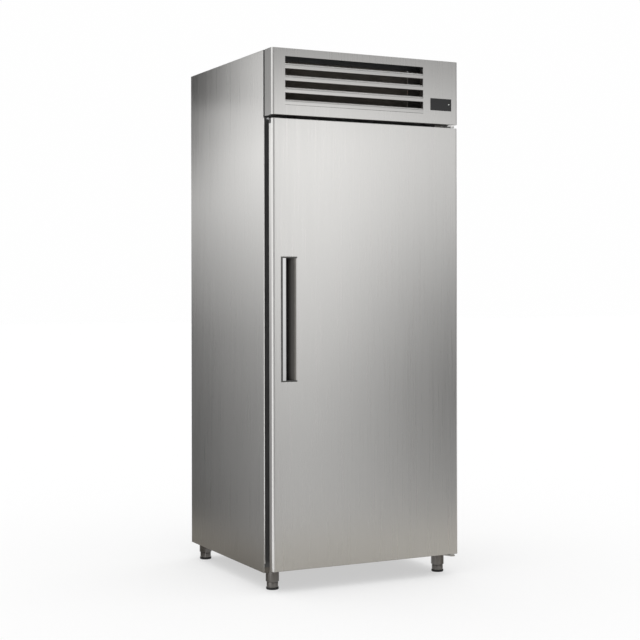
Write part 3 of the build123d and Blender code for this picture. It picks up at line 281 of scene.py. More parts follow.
# %% Moulded plastics, rubber and paint
def grained(name, chip, roughness, grain_size, depth=0.0003, spread=0.12, **values):
    """A dull or satin surface: an even colour with a fine grain and a slow change of tone."""
    material, tree, shader = start_material(name, **values)
    place = object_place(tree)
    grain = noise(tree, place, grain_size, 3.0)
    tone = add_node(tree, "ValToRGB", {"Fac": noise(tree, place, 90)})
    tone.color_ramp.elements[0].position = 0.3
    tone.color_ramp.elements[1].position = 0.7
    tone.color_ramp.elements[0].color = linear(chip, 1 - spread)
    tone.color_ramp.elements[1].color = linear(chip, 1 + spread)
    tree.links.new(tone.outputs["Color"], shader.inputs["Base Color"])
    gloss = remap(tree, grain, low=roughness - 0.06, high=roughness + 0.06)
    tree.links.new(gloss, shader.inputs["Roughness"])
    bump = add_node(tree, "Bump", {"Height": grain}, Strength=0.3, Distance=depth)
    tree.links.new(bump.outputs["Normal"], shader.inputs["Normal"])
    return material


# The thermal frame is extruded PVC: even, dark grey, with a satin sheen.
dress("frame_plastic", grained("extruded_pvc_dark_grey", "#535353", 0.45, 1.2))
# Trim, controller, fans and cable gland are black ABS, which stays dark until light grazes it.
black_abs = grained("moulded_abs_black", "#141414", 0.42, 1.2)
for slot in ("door_trim", "controller_plastic", "gland_plastic", "fan_plastic", "bush_nylon"):
    dress(slot, black_abs)
# The handle's tray is a paler, warmer grey than the other black trim: painted light, for the light its sloped
# wall catches.
nodes["handle_tray"].material_slots[0].material = grained("moulded_abs_dark_grey", "#454442", 0.5, 1.2)
# Seals, gasket, pads and grommets are rubber: nearly black, with hardly any highlight.
rubber = grained("moulded_rubber_black", "#111111", 0.62, 1.5)
for slot in ("seal_rubber", "gasket_rubber", "pad_rubber", "grommet_rubber"):
    dress(slot, rubber)
# The evaporator's cover is formed white ABS, clean and slightly glossy.
dress("evaporator_plastic", grained("formed_abs_white", "#E4E6E6", 0.35, 1.5, spread=0.03))
# The electrical box is plain light grey ABS, duller than the cover.
dress("box_plastic", grained("moulded_abs_grey", "#B4B7B8", 0.5, 1.5, spread=0.05))
# The insulation is poured foam: matt, straw yellow and uneven. Only a cut shows it.
dress("foam", grained("polyurethane_foam", "#DCCB98", 0.85, 1.0, spread=0.1))
# The coated wire is smooth and pale, so each wire has one soft line of light.
dress("shelf_wire", grained("plastic_coated_wire", "#D6D8D8", 0.32, 1.5, spread=0.04))
# The controller's window is tinted acrylic: black, but it mirrors the room.
dress("controller_window", grained("tinted_acrylic", "#0E0F11", 0.14, 2.0, depth=0.0))
# Paint on the unit: black on header frame and motors, a dusty brown grey on the fins, a dark brown shroud and
# a glossy black compressor.
for slot, chip, roughness in (
    ("header_frame", "#1D1E1F", 0.5),
    ("motor_paint", "#1A1A1C", 0.45),
    ("condenser_paint", "#8E8780", 0.6),
    ("shroud_sheet", "#4A4643", 0.55),
    ("compressor_paint", "#0B0B0B", 0.25),
):
    dress(slot, grained("painted_" + slot, chip, roughness, 1.5))

# %% [markdown]
# ## Bright metals
#
# Small parts are bright: zinc-plated screws, ground pins, chromed wire, a chromed grip strip, copper pipe and
# aluminium fins. A polished metal shows what is around it, so its tone comes from there and from its own
# colour. Zinc is grey, chrome almost white, and copper a pinkish brown.
#
# Handling and thin oxide take a little off the colour and the gloss, in soft patches. A slow noise does that.
# A picture of scratches would add nothing, because they are finer than a pixel.

# %% Bright metals
def bright_metal(name, chip, roughness):
    """Plated, ground or bare metal, with a soft change in its colour and gloss."""
    material, tree, shader = start_material(name, Metallic=1.0)
    slow = noise(tree, object_place(tree), 25, 4.0)
    tone = add_node(tree, "ValToRGB", {"Fac": slow})
    tone.color_ramp.elements[0].color = linear(chip, 0.85)
    tone.color_ramp.elements[1].color = linear(chip)
    tree.links.new(tone.outputs["Color"], shader.inputs["Base Color"])
    gloss = remap(tree, slow, low=roughness - 0.04, high=roughness + 0.06)
    tree.links.new(gloss, shader.inputs["Roughness"])
    return material


# Plating leaves screws a little milky. Pins are ground, and the sharpest highlights are on chrome.
dress("screw_steel", bright_metal("zinc_plated_screw", "#C9CACB", 0.22))
dress("pin_steel", bright_metal("ground_steel_pin", "#C9CACB", 0.16))
dress("grip_steel", bright_metal("bright_chrome_strip", "#C6C6C6", 0.14))
dress("guard_wire", bright_metal("chromed_wire", "#D2D3D4", 0.15))
# Drawn copper dulls within weeks, so it glows rather than mirrors. Fin stock has a soft grey shine.
dress("copper", bright_metal("bare_copper", "#C77F5B", 0.28))
dress("coil_aluminium", bright_metal("aluminium_fin_stock", "#CFD1D2", 0.35))

# %% [markdown]
# ## Modelling the fine pieces
#
# A solid model keeps to the main forms. Fins, wires, pipes, screws and the soft lips of a seal are left to
# this script. Each is made as a person would make it by hand: a primitive is added at its size and place,
# its faces or edges are picked by where they lie, and edit-mode operators shape them. Nothing may be selected
# beforehand, because an operator acts on all that is.
#
# Helpers do the routine part. Three start a piece as a box, a flat plate or a round bar, and one bends a wire
# through points. Others pick faces or edges, extrude or round them, and join pieces. One keeps the finished
# piece: it puts its place into its mesh, gives it the finish of its slot and ties it to its body.

# %% Modelling helpers
def deselect():
    """Leave edit mode, with nothing selected."""
    if bpy.context.mode != "OBJECT":
        bpy.ops.object.mode_set(mode="OBJECT")
    bpy.ops.object.select_all(action="DESELECT")


def choose(piece):
    """Leave edit mode, with one piece selected and active."""
    deselect()
    piece.select_set(True)
    bpy.context.view_layer.objects.active = piece


def block(low, high):
    """A box between two corners, to start a piece from."""
    deselect()
    middle, size = [(a + b) / 2 for a, b in zip(low, high)], [b - a for a, b in zip(low, high)]
    bpy.ops.mesh.primitive_cube_add(size=1, location=middle, scale=size)
    bpy.ops.object.transform_apply()
    return bpy.context.object


def plate(middle, turn, width, height):
    """A flat plate round a point, turned by three angles in degrees, to start a piece from."""
    deselect()
    angles = [math.radians(angle) for angle in turn]
    bpy.ops.mesh.primitive_plane_add(size=1, location=middle, rotation=angles)
    bpy.ops.transform.resize(value=(width, height, 1), orient_type="LOCAL")
    bpy.ops.object.transform_apply()
    return bpy.context.object


def bar(start, end, radius, sides=24):
    """A round bar between two points, to start a piece from."""
    deselect()
    start, along = Vector(start), Vector(end) - Vector(start)
    turn = along.to_track_quat("Z", "Y").to_euler()
    bpy.ops.mesh.primitive_cylinder_add(vertices=sides, radius=radius, depth=along.length,
                                        location=start + along / 2, rotation=turn)
    bpy.ops.object.transform_apply()
    return bpy.context.object


def pick(piece, test, kind="FACE"):
    """Open a piece in edit mode, and select the faces or edges whose middle and direction pass a test."""
    if bpy.context.mode == "OBJECT":
        choose(piece)
        bpy.ops.object.mode_set(mode="EDIT")
    bpy.ops.mesh.select_mode(type=kind)
    bpy.ops.mesh.select_all(action="DESELECT")
    shape = bmesh.from_edit_mesh(piece.data)
    shape.normal_update()
    for part in shape.faces if kind == "FACE" else shape.edges:
        corners = [corner.co for corner in part.verts]
        way = part.normal if kind == "FACE" else (corners[1] - corners[0]).normalized()
        part.select_set(bool(test(sum(corners, Vector()) / len(corners), way)))
    bmesh.update_edit_mesh(piece.data)


def extrude(x=0, y=0, z=0):
    """Extrude the picked faces by a distance."""
    bpy.ops.mesh.extrude_region_move(TRANSFORM_OT_translate={"value": (x, y, z)})


def round_edges(piece, test, radius, segments):
    """Round the edges whose middle and direction pass a test."""
    pick(piece, test, "EDGE")
    bpy.ops.mesh.bevel(offset=radius, segments=segments, affect="EDGES")


def join(pieces):
    """Make one piece of several."""
    deselect()
    for piece in pieces:
        piece.select_set(True)
    bpy.context.view_layer.objects.active = pieces[0]
    bpy.ops.object.join()
    return pieces[0]


def keep(piece, name, slot, body="cabinet", stands_for=(), material=None, smooth=35):
    """Finish a piece: name, smooth shading below an angle, finish, body and what it stands for."""
    choose(piece)
    bpy.ops.object.transform_apply()
    bpy.ops.object.shade_smooth_by_angle(angle=math.radians(smooth))
    piece.name = piece.data.name = name
    if material is None:
        carrier = next(s["node"] for s in frame["record"]["subparts"] if s["material_slot"] == slot)
        material = nodes[carrier].material_slots[0].material
    piece.data.materials.clear()
    piece.data.materials.append(material)
    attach(piece, body)
    if stands_for:
        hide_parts(*stands_for)
    shape = bmesh.new()
    shape.from_mesh(piece.data)
    open_edges = sum(not edge.is_manifold for edge in shape.edges)
    shape.free()
    print(name, len(piece.data.polygons), "faces,", open_edges, "open edges, on", body)


def finish_modifiers(piece):
    """Apply all the modifiers of a piece, in order."""
    choose(piece)
    for modifier in list(piece.modifiers):
        bpy.ops.object.modifier_apply(modifier=modifier.name)


def bent_wire(points, radius, bend, closed=False, roundness=3):
    """A round wire or pipe through points, with its corners bent to a radius."""
    path = bpy.data.meshes.new("path")
    links = [(i, i + 1) for i in range(len(points) - 1)] + ([(len(points) - 1, 0)] if closed else [])
    path.from_pydata(points, links, [])
    piece = bpy.data.objects.new("path", path)
    bpy.context.scene.collection.objects.link(piece)
    pick(piece, lambda middle, way: False, "EDGE")
    bpy.ops.mesh.select_mode(type="VERT")
    shape = bmesh.from_edit_mesh(path)
    for corner in shape.verts:
        corner.select_set(len(corner.link_edges) == 2)
    bmesh.update_edit_mesh(path)
    bpy.ops.mesh.bevel(offset=bend, segments=6, affect="VERTICES")
    bpy.ops.object.mode_set(mode="OBJECT")
    bpy.ops.object.convert(target="CURVE")
    piece.data.bevel_depth, piece.data.bevel_resolution, piece.data.use_fill_caps = radius, roundness, True
    bpy.ops.object.convert(target="MESH")
    piece = bpy.context.object
    pick(piece, lambda middle, way: True)
    bpy.ops.mesh.remove_doubles(threshold=0.00001)
    deselect()
    return piece

# %% [markdown]
# ## Condenser fins
#
# Behind the louvre stands the condenser: copper rows pushed through hundreds of thin aluminium fins, painted
# and dusty. A fin is 0.15 mm thick. Here it is 0.4 mm at a pitch of 2.6 mm, coarse enough to draw and still
# finer than a pixel of the picture, so that the slots show an even dark grey, as they do in the photograph.
#
# One fin is modelled, with its two crimps, and an Array modifier repeats it. A core keeps the light from
# passing between them, and two end plates carry the pack.

# %% Condenser fins
coil_low, coil_high = (Vector(corner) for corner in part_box("condenser_coil"))
coil_plate, coil_lift, fin_gauge, fin_pitch, crimp = 0.002, 0.010, 0.0004, 0.0026, 0.0008
core_inset, core_gap, plate_round = 0.007, 0.001, 0.0006

fin_left, fin_floor = coil_low.x + coil_plate, coil_low.z + coil_lift
fin = block((fin_left, coil_low.y, fin_floor), (fin_left + fin_gauge, coil_high.y, coil_high.z))
pick(fin, lambda middle, way: abs(way.y) > 0.9, "EDGE")
bpy.ops.mesh.subdivide(number_cuts=3)
quarter = (coil_high.y - coil_low.y) / 4
ridges = (coil_low.y + quarter, coil_high.y - quarter)
pick(fin, lambda middle, way: abs(way.y) < 0.1 and min(abs(middle.y - y) for y in ridges) < 0.001, "EDGE")
bpy.ops.transform.translate(value=(crimp, 0, 0))
deselect()
fins = fin.modifiers.new("fins", "ARRAY")
fins.count = int((coil_high.x - coil_low.x - 2 * coil_plate) / fin_pitch)
fins.use_relative_offset, fins.use_constant_offset = False, True
fins.constant_offset_displace = (fin_pitch, 0, 0)
print("fins", fins.count)
finish_modifiers(fin)

core = block((fin_left, coil_low.y + core_inset, fin_floor + core_gap),
             (coil_high.x - coil_plate, coil_high.y - core_inset, coil_high.z - core_gap))
ends = []
for x in (coil_low.x, coil_high.x - coil_plate):
    end = block((x, coil_low.y, coil_low.z), (x + coil_plate, coil_high.y, coil_high.z))
    round_edges(end, lambda middle, way: abs(way.z) > 0.9, plate_round, 2)
    ends.append(end)
keep(join([fin, core] + ends), "condenser_fin_pack", "condenser_paint", stands_for=["condenser_coil"])

# %% [markdown]
# ## Air baffle
#
# Beside the coil a folded sheet closes the gap between it and the header, so that the fan draws its air
# through the fins and not past them. It is what makes the right-hand end of the louvre dark.

# %% Air baffle
baffle_sheet, baffle_lip, coil_gap, edge_gap = 0.0012, 0.014, 0.0015, 0.0005
baffle_right, baffle_top = 0.3663, coil_high.z - 0.004
baffle_front = coil_low.y + edge_gap
baffle = block((coil_high.x + coil_gap, baffle_front, coil_low.z + edge_gap),
               (baffle_right, baffle_front + baffle_sheet, baffle_top))
pick(baffle, lambda middle, way: way.x > 0.9)
extrude(x=baffle_sheet)
pick(baffle, lambda middle, way: way.y > 0.9 and middle.x > baffle_right)
extrude(y=baffle_lip)
round_edges(baffle, lambda middle, way: abs(way.z) > 0.9 and middle.x > baffle_right + 0.001
            and middle.y < baffle_front + 1e-5, 0.001, 3)
keep(baffle, "air_baffle", "shroud_sheet")

# %% [markdown]
# ## Copper pipes
#
# The solid model's pipes are eight-sided. These are round, with the same runs: discharge from the compressor
# to the condenser, liquid to the drier, the thin capillary towards the evaporator, and suction back. A path
# of straight edges gets its corners bevelled into bends, becomes a curve, and the curve gets its thickness.

# %% Copper pipes
pipe_radius, capillary_radius, pipe_bend, drier_lap, drier_stand = 0.004, 0.0015, 0.014, 0.001, 0.04
pipe_low, pipe_high = (Vector(corner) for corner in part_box("refrigerant_pipes"))
drier_low, drier_high = (Vector(corner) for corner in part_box("filter_drier"))
pipe_x, capillary_x, pipe_front, pipe_rear = 0.275, 0.335, -0.262, 0.295
compressor_x, shell_front, shell_rear, discharge_y = 0.215, 0.03, 0.19, -0.012
discharge_z, suction_z, drier_z, upper_row = 1.8955, 1.849, 1.7785, 1.9605
drier_out, evaporator_z = drier_high.y + drier_stand, pipe_low.z + pipe_radius

discharge = [
    (compressor_x, shell_front, discharge_z), (compressor_x, discharge_y, discharge_z),
    (pipe_x, discharge_y, discharge_z), (pipe_x, pipe_front, discharge_z),
    (pipe_x, pipe_front, upper_row), (coil_high.x, pipe_front, upper_row),
]
liquid = [
    (coil_high.x, pipe_front, drier_z), (pipe_x, pipe_front, drier_z),
    (pipe_x, drier_low.y + drier_lap, drier_z),
]
capillary = [
    (pipe_x, drier_high.y - drier_lap, drier_z), (pipe_x, drier_out, drier_z),
    (capillary_x, drier_out, drier_z), (capillary_x, pipe_rear, drier_z),
    (pipe_x + pipe_radius, pipe_rear, drier_z),
]
suction = [
    (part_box("evaporator_coil")[1][0], pipe_rear, evaporator_z), (pipe_x, pipe_rear, evaporator_z),
    (pipe_x, pipe_rear, suction_z), (compressor_x, pipe_rear, suction_z),
    (compressor_x, shell_rear, suction_z),
]
pipes = [bent_wire(run, capillary_radius if run is capillary else pipe_radius, pipe_bend)
         for run in (discharge, liquid, capillary, suction)]
print("pipe box in the solids", [round(v, 4) for v in (*pipe_low, *pipe_high)])
keep(join(pipes), "copper_pipes", "copper", stands_for=["refrigerant_pipes"])

# %% [markdown]
# ## Wiring
#
# Two black leads run on the tray from the electrical box, one to the compressor's terminal cover and one to
# the fan motor. Both are fixed at both ends, so they are part of the cabinet and not free cords.

# %% Wiring
lead_radius, lead_bend, lead_lap, tray_level, outlet_level = 0.0035, 0.012, 0.004, 1.7605, 1.785
box_side, cover_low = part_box("electrical_box")[1][0], Vector(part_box("terminal_cover")[0])
cover_y, cover_level, cover_stand = 0.11, 1.85, 0.03
motor_x, motor_rear, motor_level = -0.05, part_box("condenser_fan_motor")[1][1], 1.862

compressor_lead = [
    (box_side - lead_lap, 0.1, outlet_level), (box_side + 0.05, 0.1, outlet_level),
    (box_side + 0.09, 0.1, tray_level), (0.05, 0.118, tray_level),
    (cover_low.x - cover_stand, cover_y, tray_level + 0.012),
    (cover_low.x - cover_stand, cover_y, cover_level), (cover_low.x + lead_lap, cover_y, cover_level),
]
fan_lead = [
    (box_side - lead_lap, -0.02, outlet_level), (box_side + 0.05, -0.02, outlet_level),
    (box_side + 0.08, -0.03, tray_level), (-0.06, -0.1, tray_level),
    (motor_x, motor_rear + 0.02, tray_level + 0.03), (motor_x, motor_rear + 0.02, motor_level),
    (motor_x, motor_rear - 0.003, motor_level),
]
leads = [bent_wire(points, lead_radius, lead_bend) for points in (compressor_lead, fan_lead)]
keep(join(leads), "black_leads", "gland_plastic")

# %% [markdown]
# ## Indicator light, louvre seam and panel beads
#
# The controller's dark window has one small light near its right end. It is a moulded lens about 3 mm across,
# domed at its rim and lit from behind, so its plastic glows a little.
#
# Under the lowest blade a black strip marks the joint with the header and paints the shade under the blade.
# It shows as one thin dark line.
#
# The front edge of each side sheet is rolled to a bead, which is safe to the touch and stiffens the edge.
# The photograph shows it as a bright line beside the dark gap of the door. It is a round bar here.

# %% Indicator light, louvre seam and panel beads
lens_material, tree, shader = start_material("moulded_lens", Roughness=0.2, Emission_Strength=0.6)
tone = add_node(tree, "ValToRGB", {"Fac": noise(tree, object_place(tree), 1.5)})
tone.color_ramp.elements[0].color = linear("#C9CCC8")
tone.color_ramp.elements[1].color = linear("#F4F6F2")
for socket in ("Base Color", "Emission Color"):
    tree.links.new(tone.outputs["Color"], shader.inputs[socket])

window_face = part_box("controller_window")[0][1]
lens_x, lens_z, lens_radius, lens_step = 0.359, 1.832, 0.0018, 0.0005
lens_back, lens_front = window_face + 0.0006, window_face - 0.0004
lens = bar((lens_x, lens_back, lens_z), (lens_x, lens_front, lens_z), lens_radius)
pick(lens, lambda middle, way: way.y < -0.9)
bpy.ops.mesh.inset(thickness=lens_step, depth=0)
round_edges(lens, lambda middle, way: abs(middle.y - lens_front) < 1e-5 and abs(way.y) < 0.1
            and math.hypot(middle.x - lens_x, middle.z - lens_z) > 0.0015, 0.0003, 3)
keep(lens, "indicator_light", "controller_window", material=lens_material)

grille_low, grille_high = (Vector(corner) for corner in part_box("louvre_blades"))
# A thin black strip: the joint under the lowest blade, and painted shade beneath it.
strip_front, strip_back, strip_height, strip_fold = -0.3997, -0.3989, 0.0026, 0.001
strip = block((grille_low.x, strip_front, grille_low.z),
              (grille_high.x, strip_back, grille_low.z + strip_height))
pick(strip, lambda middle, way: way.y > 0.9)
extrude(y=strip_fold)
round_edges(strip, lambda middle, way: abs(way.x) > 0.9 and middle.y < -0.3995, 0.0004, 2)
keep(strip, "louvre_shadow_strip", "seal_rubber")

# The bead's steel is tinted paler than the casing: a painted highlight for the bright line along the edge.
bead_highlight_steel = brushed_steel("rolled_stainless_bead_highlight", "#E2E1DF", roughness=0.26)
bead_radius, bead_floor, bead_top, bead_gap = 0.002, 0.1, 1.748, 0.0002
for side in ("left", "right"):
    panel_low, panel_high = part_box(side + "_side_panel")
    bead_x = panel_low[0] + bead_radius if side == "left" else panel_high[0] - bead_radius
    bead_y = panel_low[1] - bead_radius - bead_gap
    bead = bar((bead_x, bead_y, bead_floor), (bead_x, bead_y, bead_top), bead_radius, sides=16)
    round_edges(bead, lambda middle, way: abs(way.z) < 0.1, 0.0006, 2)
    keep(bead, side + "_panel_bead", "side_panels", material=bead_highlight_steel)

# %% [markdown]
# ## Screws
#
# The screws are pan heads with a cross recess. One is modelled: a bar whose upper rim is rounded, with a
# cross cut into it by a Boolean modifier. The others are copies, turned to face the way they are driven.

# %% Screws
head_radius, head_height, head_round = 0.006, 0.0035, 0.0018
slot_half, slot_reach, slot_depth = 0.0005, 0.0028, 0.002
head = bar((0, 0, 0), (0, 0, head_height), head_radius, sides=28)
round_edges(head, lambda middle, way: middle.z > head_height - 1e-5 and abs(way.z) < 0.1, head_round, 4)
deselect()
recess = join([block((-x, -y, head_height - slot_depth), (x, y, head_height + 0.001))
               for x, y in ((slot_half, slot_reach), (slot_reach, slot_half))])
cut = head.modifiers.new("recess", "BOOLEAN")
cut.object, cut.operation, cut.solver, cut.use_self = recess, "DIFFERENCE", "EXACT", True
finish_modifiers(head)
bpy.data.objects.remove(recess)


def drive_screws(name, places, facing, stands_for):
    """Copies of the screw head at these places, all facing one way, each turned a little further."""
    turn = Vector(facing).to_track_quat("Z", "Y").to_matrix().to_4x4()
    copies = []
    for index, place in enumerate(places):
        copy = head.copy()
        copy.data = head.data.copy()
        bpy.context.scene.collection.objects.link(copy)
        copy.data.transform(Matrix.Translation(place) @ turn @ Matrix.Rotation(index * 1.1, 4, "Z"))
        copies.append(copy)
    keep(join(copies), name, "screw_steel", stands_for=stands_for)


header_places = [(x, -0.323, z) for x in (-0.3905, 0.3905) for z in (1.8278, 1.9508)]
drive_screws("header_pan_screws", header_places, (0, 1, 0), ["header_screws"])
bracket_places = [(x, -0.329, z) for x in (0.350, 0.372) for z in (0.090, 1.764)]
panel_place = (-0.382, -0.325, 1.747)
drive_screws("hinge_pan_screws", bracket_places + [panel_place], (0, -1, 0), ["hinge_screws"])
bpy.data.objects.remove(head)

# %% [markdown]
# ## Liner of the handle recess
#
# Right of the grip strip the recess opens in a soft curve, where the fingers go in. The photograph shows it
# dark, and paler only towards its outer edge, where the light gets in. A thin moulded liner lies on the
# rolled sheet, and its colour is that painted shade: dark deep in the recess, paler towards the outer edge. A
# thin upright face is spun through 80 degrees round the roll's axis.

# %% Liner of the handle recess
roll_x, roll_y, roll_radius, roll_edge = -0.2985, -0.375, 0.0251, 0.004
liner_gauge, liner_turn, liner_inset = 0.0004, 80, 0.005
tray_low, tray_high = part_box("handle_tray")
liner_floor, liner_top = tray_low[2] + liner_inset, tray_high[2] - liner_inset
liner_start = (roll_x - roll_radius + liner_gauge / 2, roll_y, (liner_floor + liner_top) / 2)
liner = plate(liner_start, (90, 0, 0), liner_gauge, liner_top - liner_floor)
pick(liner, lambda middle, way: True)
bpy.ops.mesh.spin(steps=20, angle=-math.radians(liner_turn), center=(roll_x, roll_y, 0), axis=(0, 0, 1))
bpy.ops.mesh.select_all(action="SELECT")
bpy.ops.mesh.remove_doubles(threshold=0.00001)
bpy.ops.mesh.normals_make_consistent(inside=False)

# Painted shade: the liner is dark deep in the recess and paler towards its outer edge, with a little random
# tone.
recess_shade_paint, tree, shader = start_material("dark_lacquer_painted_shade", Specular_IOR_Level=0.3)
place = object_place(tree)
rub = noise(tree, place, 14, 3.0)
across = add_node(tree, "SeparateXYZ", {"Vector": place}).outputs["X"]
reach = remap(tree, across, roll_x - roll_radius, roll_x - roll_edge)
uneven = add_node(tree, "Math", {0: reach, 1: remap(tree, rub, low=-0.06, high=0.06)}, operation="ADD")
recess_shade = add_node(tree, "ValToRGB", {"Fac": uneven.outputs[0]})
recess_shade.color_ramp.elements[0].color = linear("#4C4A48")
recess_shade.color_ramp.elements[1].color = linear("#8A8782")
recess_shade.color_ramp.elements.new(0.55).color = linear("#4B4946")
tree.links.new(recess_shade.outputs["Color"], shader.inputs["Base Color"])
tree.links.new(remap(tree, rub, low=0.4, high=0.55), shader.inputs["Roughness"])
keep(liner, "handle_recess_shade_liner", "door_trim", body="door", material=recess_shade_paint)

# %% [markdown]
# ## Magnetic gasket
#
# The seal is one soft extrusion with welded corners: a foot that snaps into the door, a bellows that lets it
# stretch, and a flat head with a magnet strip inside. A rectangle is inset to a frame, so its corners are
# mitred as the welded ones are. Then the same four faces are inset or outset again and again, each time a
# little further out, which draws the profile in steps.

# %% Magnetic gasket
gasket_low, gasket_high = (Vector(corner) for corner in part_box("door_gasket"))
foot_inset, foot_width, foot_height, magnet_height = 0.004, 0.012, 0.0022, 0.0060
# How much narrower each step of the profile gets, where minus is wider, and how far out it goes
bellows = ((0.0022, 0.0008), (-0.0012, 0.0010), (0.0016, 0.0010), (-0.0030, 0.0011), (-0.0032, 0.0008))
face = ((0.0006, 0.0006), (0.0008, 0.0003), (0.0040, 0.0002), (0.0010, -0.0004))

gasket_size = gasket_high - gasket_low
gasket_middle = (gasket_low.x + gasket_size.x / 2, gasket_low.y, gasket_low.z + gasket_size.z / 2)
gasket = plate(gasket_middle, (-90, 0, 0), gasket_size.x - 2 * foot_inset, gasket_size.z - 2 * foot_inset)
pick(gasket, lambda middle, way: True)
bpy.ops.mesh.inset(thickness=foot_width)
bpy.ops.mesh.delete(type="FACE")
pick(gasket, lambda middle, way: True)
extrude(y=foot_height)
for narrower, out in bellows:
    bpy.ops.mesh.inset(thickness=abs(narrower), depth=out, use_outset=narrower < 0)
extrude(y=magnet_height)
for narrower, out in face:
    bpy.ops.mesh.inset(thickness=narrower, depth=out)
bpy.ops.mesh.select_all(action="SELECT")
bpy.ops.mesh.normals_make_consistent(inside=False)
keep(gasket, "magnetic_gasket", "gasket_rubber", body="door", stands_for=["door_gasket"], smooth=50)
print("gasket reaches", round(max(v.co.y for v in gasket.data.vertices), 5), "solid", round(gasket_high.y, 5))

# %% [markdown]
# ## Wire shelves
#
# Each shelf is a bent rim of 8 mm wire with a bar across its middle and 5 mm wires welded on top, all coated
# with plastic. The rim is a bent wire and the others are round bars. One shelf is made, and the other two are
# copies a rack pitch higher.

# %% Wire shelves
shelf_low, shelf_high = (Vector(corner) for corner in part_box("wire_shelves"))
rim_radius, rim_bend, cross_radius, cross_count, cross_lift = 0.004, 0.014, 0.0025, 17, 0.0055
shelf_rise = 0.36
rim_x, rim_y, rim_level = shelf_high.x - rim_radius, shelf_high.y - rim_radius, shelf_low.z + rim_radius
cross_level, cross_pitch = rim_level + cross_lift, 2 * shelf_high.x / (cross_count + 1)

rim_corners = [(x * rim_x, y * rim_y, rim_level) for x, y in ((-1, -1), (1, -1), (1, 1), (-1, 1))]
rim = bent_wire(rim_corners, rim_radius, rim_bend, closed=True)
parts = [rim, bar((-rim_x, 0, rim_level), (rim_x, 0, rim_level), rim_radius, sides=16)]
for index in range(cross_count):
    x = (index - (cross_count - 1) / 2) * cross_pitch
    wire = bar((x, -rim_y, cross_level), (x, rim_y, cross_level), cross_radius, sides=12)
    round_edges(wire, lambda middle, way: abs(abs(middle.y) - rim_y) < 1e-4 and abs(way.y) < 0.1, 0.0008, 2)
    parts.append(wire)
shelves = [join(parts)]
for index in (1, 2):
    shelf = shelves[0].copy()
    shelf.data = shelves[0].data.copy()
    shelf.data.transform(Matrix.Translation((0, 0, index * shelf_rise)))
    bpy.context.scene.collection.objects.link(shelf)
    shelves.append(shelf)
for shelf, name in zip(shelves, ("lower_shelf", "middle_shelf", "upper_shelf")):
    keep(shelf, name, "shelf_wire", stands_for=["wire_shelves"] if name == "lower_shelf" else ())

# %% [markdown]
# ## Fan guard
#
# The evaporator fan blows down through a guard of chromed wire: four rings on three bars, spot-welded where
# they cross.

# %% Fan guard
guard_low, guard_high = (Vector(corner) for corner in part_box("fan_guard"))
guard_middle, guard_reach = (guard_low + guard_high) / 2, (guard_high.x - guard_low.x) / 2
guard_wire = 0.001
rings = []
for part in range(1, 5):
    deselect()
    bpy.ops.mesh.primitive_torus_add(location=guard_middle, major_radius=guard_reach * part / 4 - guard_wire,
                                     minor_radius=guard_wire, major_segments=16 + 12 * part, minor_segments=8)
    rings.append(bpy.context.object)
for turn in (0, 60, 120):
    arm = Vector((math.cos(math.radians(turn)), math.sin(math.radians(turn)), 0)) * (guard_reach - guard_wire)
    rings.append(bar(guard_middle - arm, guard_middle + arm, guard_wire * 0.9, sides=10))
keep(join(rings), "wire_fan_guard", "guard_wire", stands_for=["fan_guard"])

# %% [markdown]
# ## Screw feet
#
# Each leg is a turned sleeve under the cabinet. A foot screws up into it, and a fitter levels the cabinet by
# turning the foot. The photograph shows the wider sleeve, a thin dark gap, and the foot's rim over its rubber
# pad. The sleeve is a bar whose lower face is inset and pushed up inside, so the foot can travel in it. The
# foot is a short bar whose upper face is inset and drawn up to a neck.

# %% Screw feet
sleeve_radius, sleeve_wall, sleeve_end, sleeve_roof = 0.0248, 0.0022, 0.030, 0.002
rim_radius, rim_step, rim_top, neck_top = 0.0217, 0.0022, 0.026, 0.052
sleeve_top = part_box("leg_tubes")[1][2]
sleeves = []
for corner in ("front_left", "front_right", "rear_left", "rear_right"):
    foot_low, foot_high = (Vector(end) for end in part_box("foot_" + corner))
    x, y = (foot_low.x + foot_high.x) / 2, (foot_low.y + foot_high.y) / 2
    axis = Vector((x, y))

    sleeve = bar((x, y, sleeve_end), (x, y, sleeve_top), sleeve_radius, sides=48)
    pick(sleeve, lambda middle, way: way.z < -0.9)
    bpy.ops.mesh.inset(thickness=sleeve_wall)
    extrude(z=sleeve_top - sleeve_end - sleeve_roof)
    round_edges(sleeve, lambda middle, way: abs(middle.z - sleeve_end) < 1e-5 and abs(way.z) < 0.1
                and (middle.xy - axis).length > sleeve_radius - 0.001, 0.0007, 3)
    sleeves.append(sleeve)

    foot = bar((x, y, foot_low.z), (x, y, rim_top), rim_radius, sides=48)
    pick(foot, lambda middle, way: way.z > 0.9)
    bpy.ops.mesh.inset(thickness=rim_step)
    extrude(z=neck_top - rim_top)
    round_edges(foot, lambda middle, way: middle.z < rim_top + 1e-5 and abs(way.z) < 0.1
                and (middle.xy - axis).length > rim_radius - 0.001, 0.0008, 3)
    keep(foot, corner + "_screw_foot", "foot_steel", body="foot_" + corner, stands_for=["foot_" + corner])
keep(join(sleeves), "leg_sleeves", "leg_steel", stands_for=["leg_tubes"])

# %% [markdown]
# ## Floor and dome
#
# Steel has hardly a look of its own. A picture of it is made by what stands around it. So the studio comes in
# two parts: what lights everything, and what only the steel sees.
#
# A pale floor runs far back under a dome that is darker low down, where the room is, and brighter overhead.
# The floor glows a little, as a light table does, so the cabinet's shadow is faint. The camera sees a plain
# white backdrop in place of the dome.

# %% Floor and dome
grey, white = (0.46, 0.46, 0.46, 1), (1, 1, 1, 1)
bpy.ops.mesh.primitive_plane_add(size=80, location=(0, 0, 0))
floor = bpy.context.object
floor.name = "floor"
lit_floor = start_material("lit_floor", Base_Color=grey, Roughness=1.0, Specular_IOR_Level=0.0,
                           Emission_Color=white, Emission_Strength=0.53)[0]
floor.data.materials.append(lit_floor)

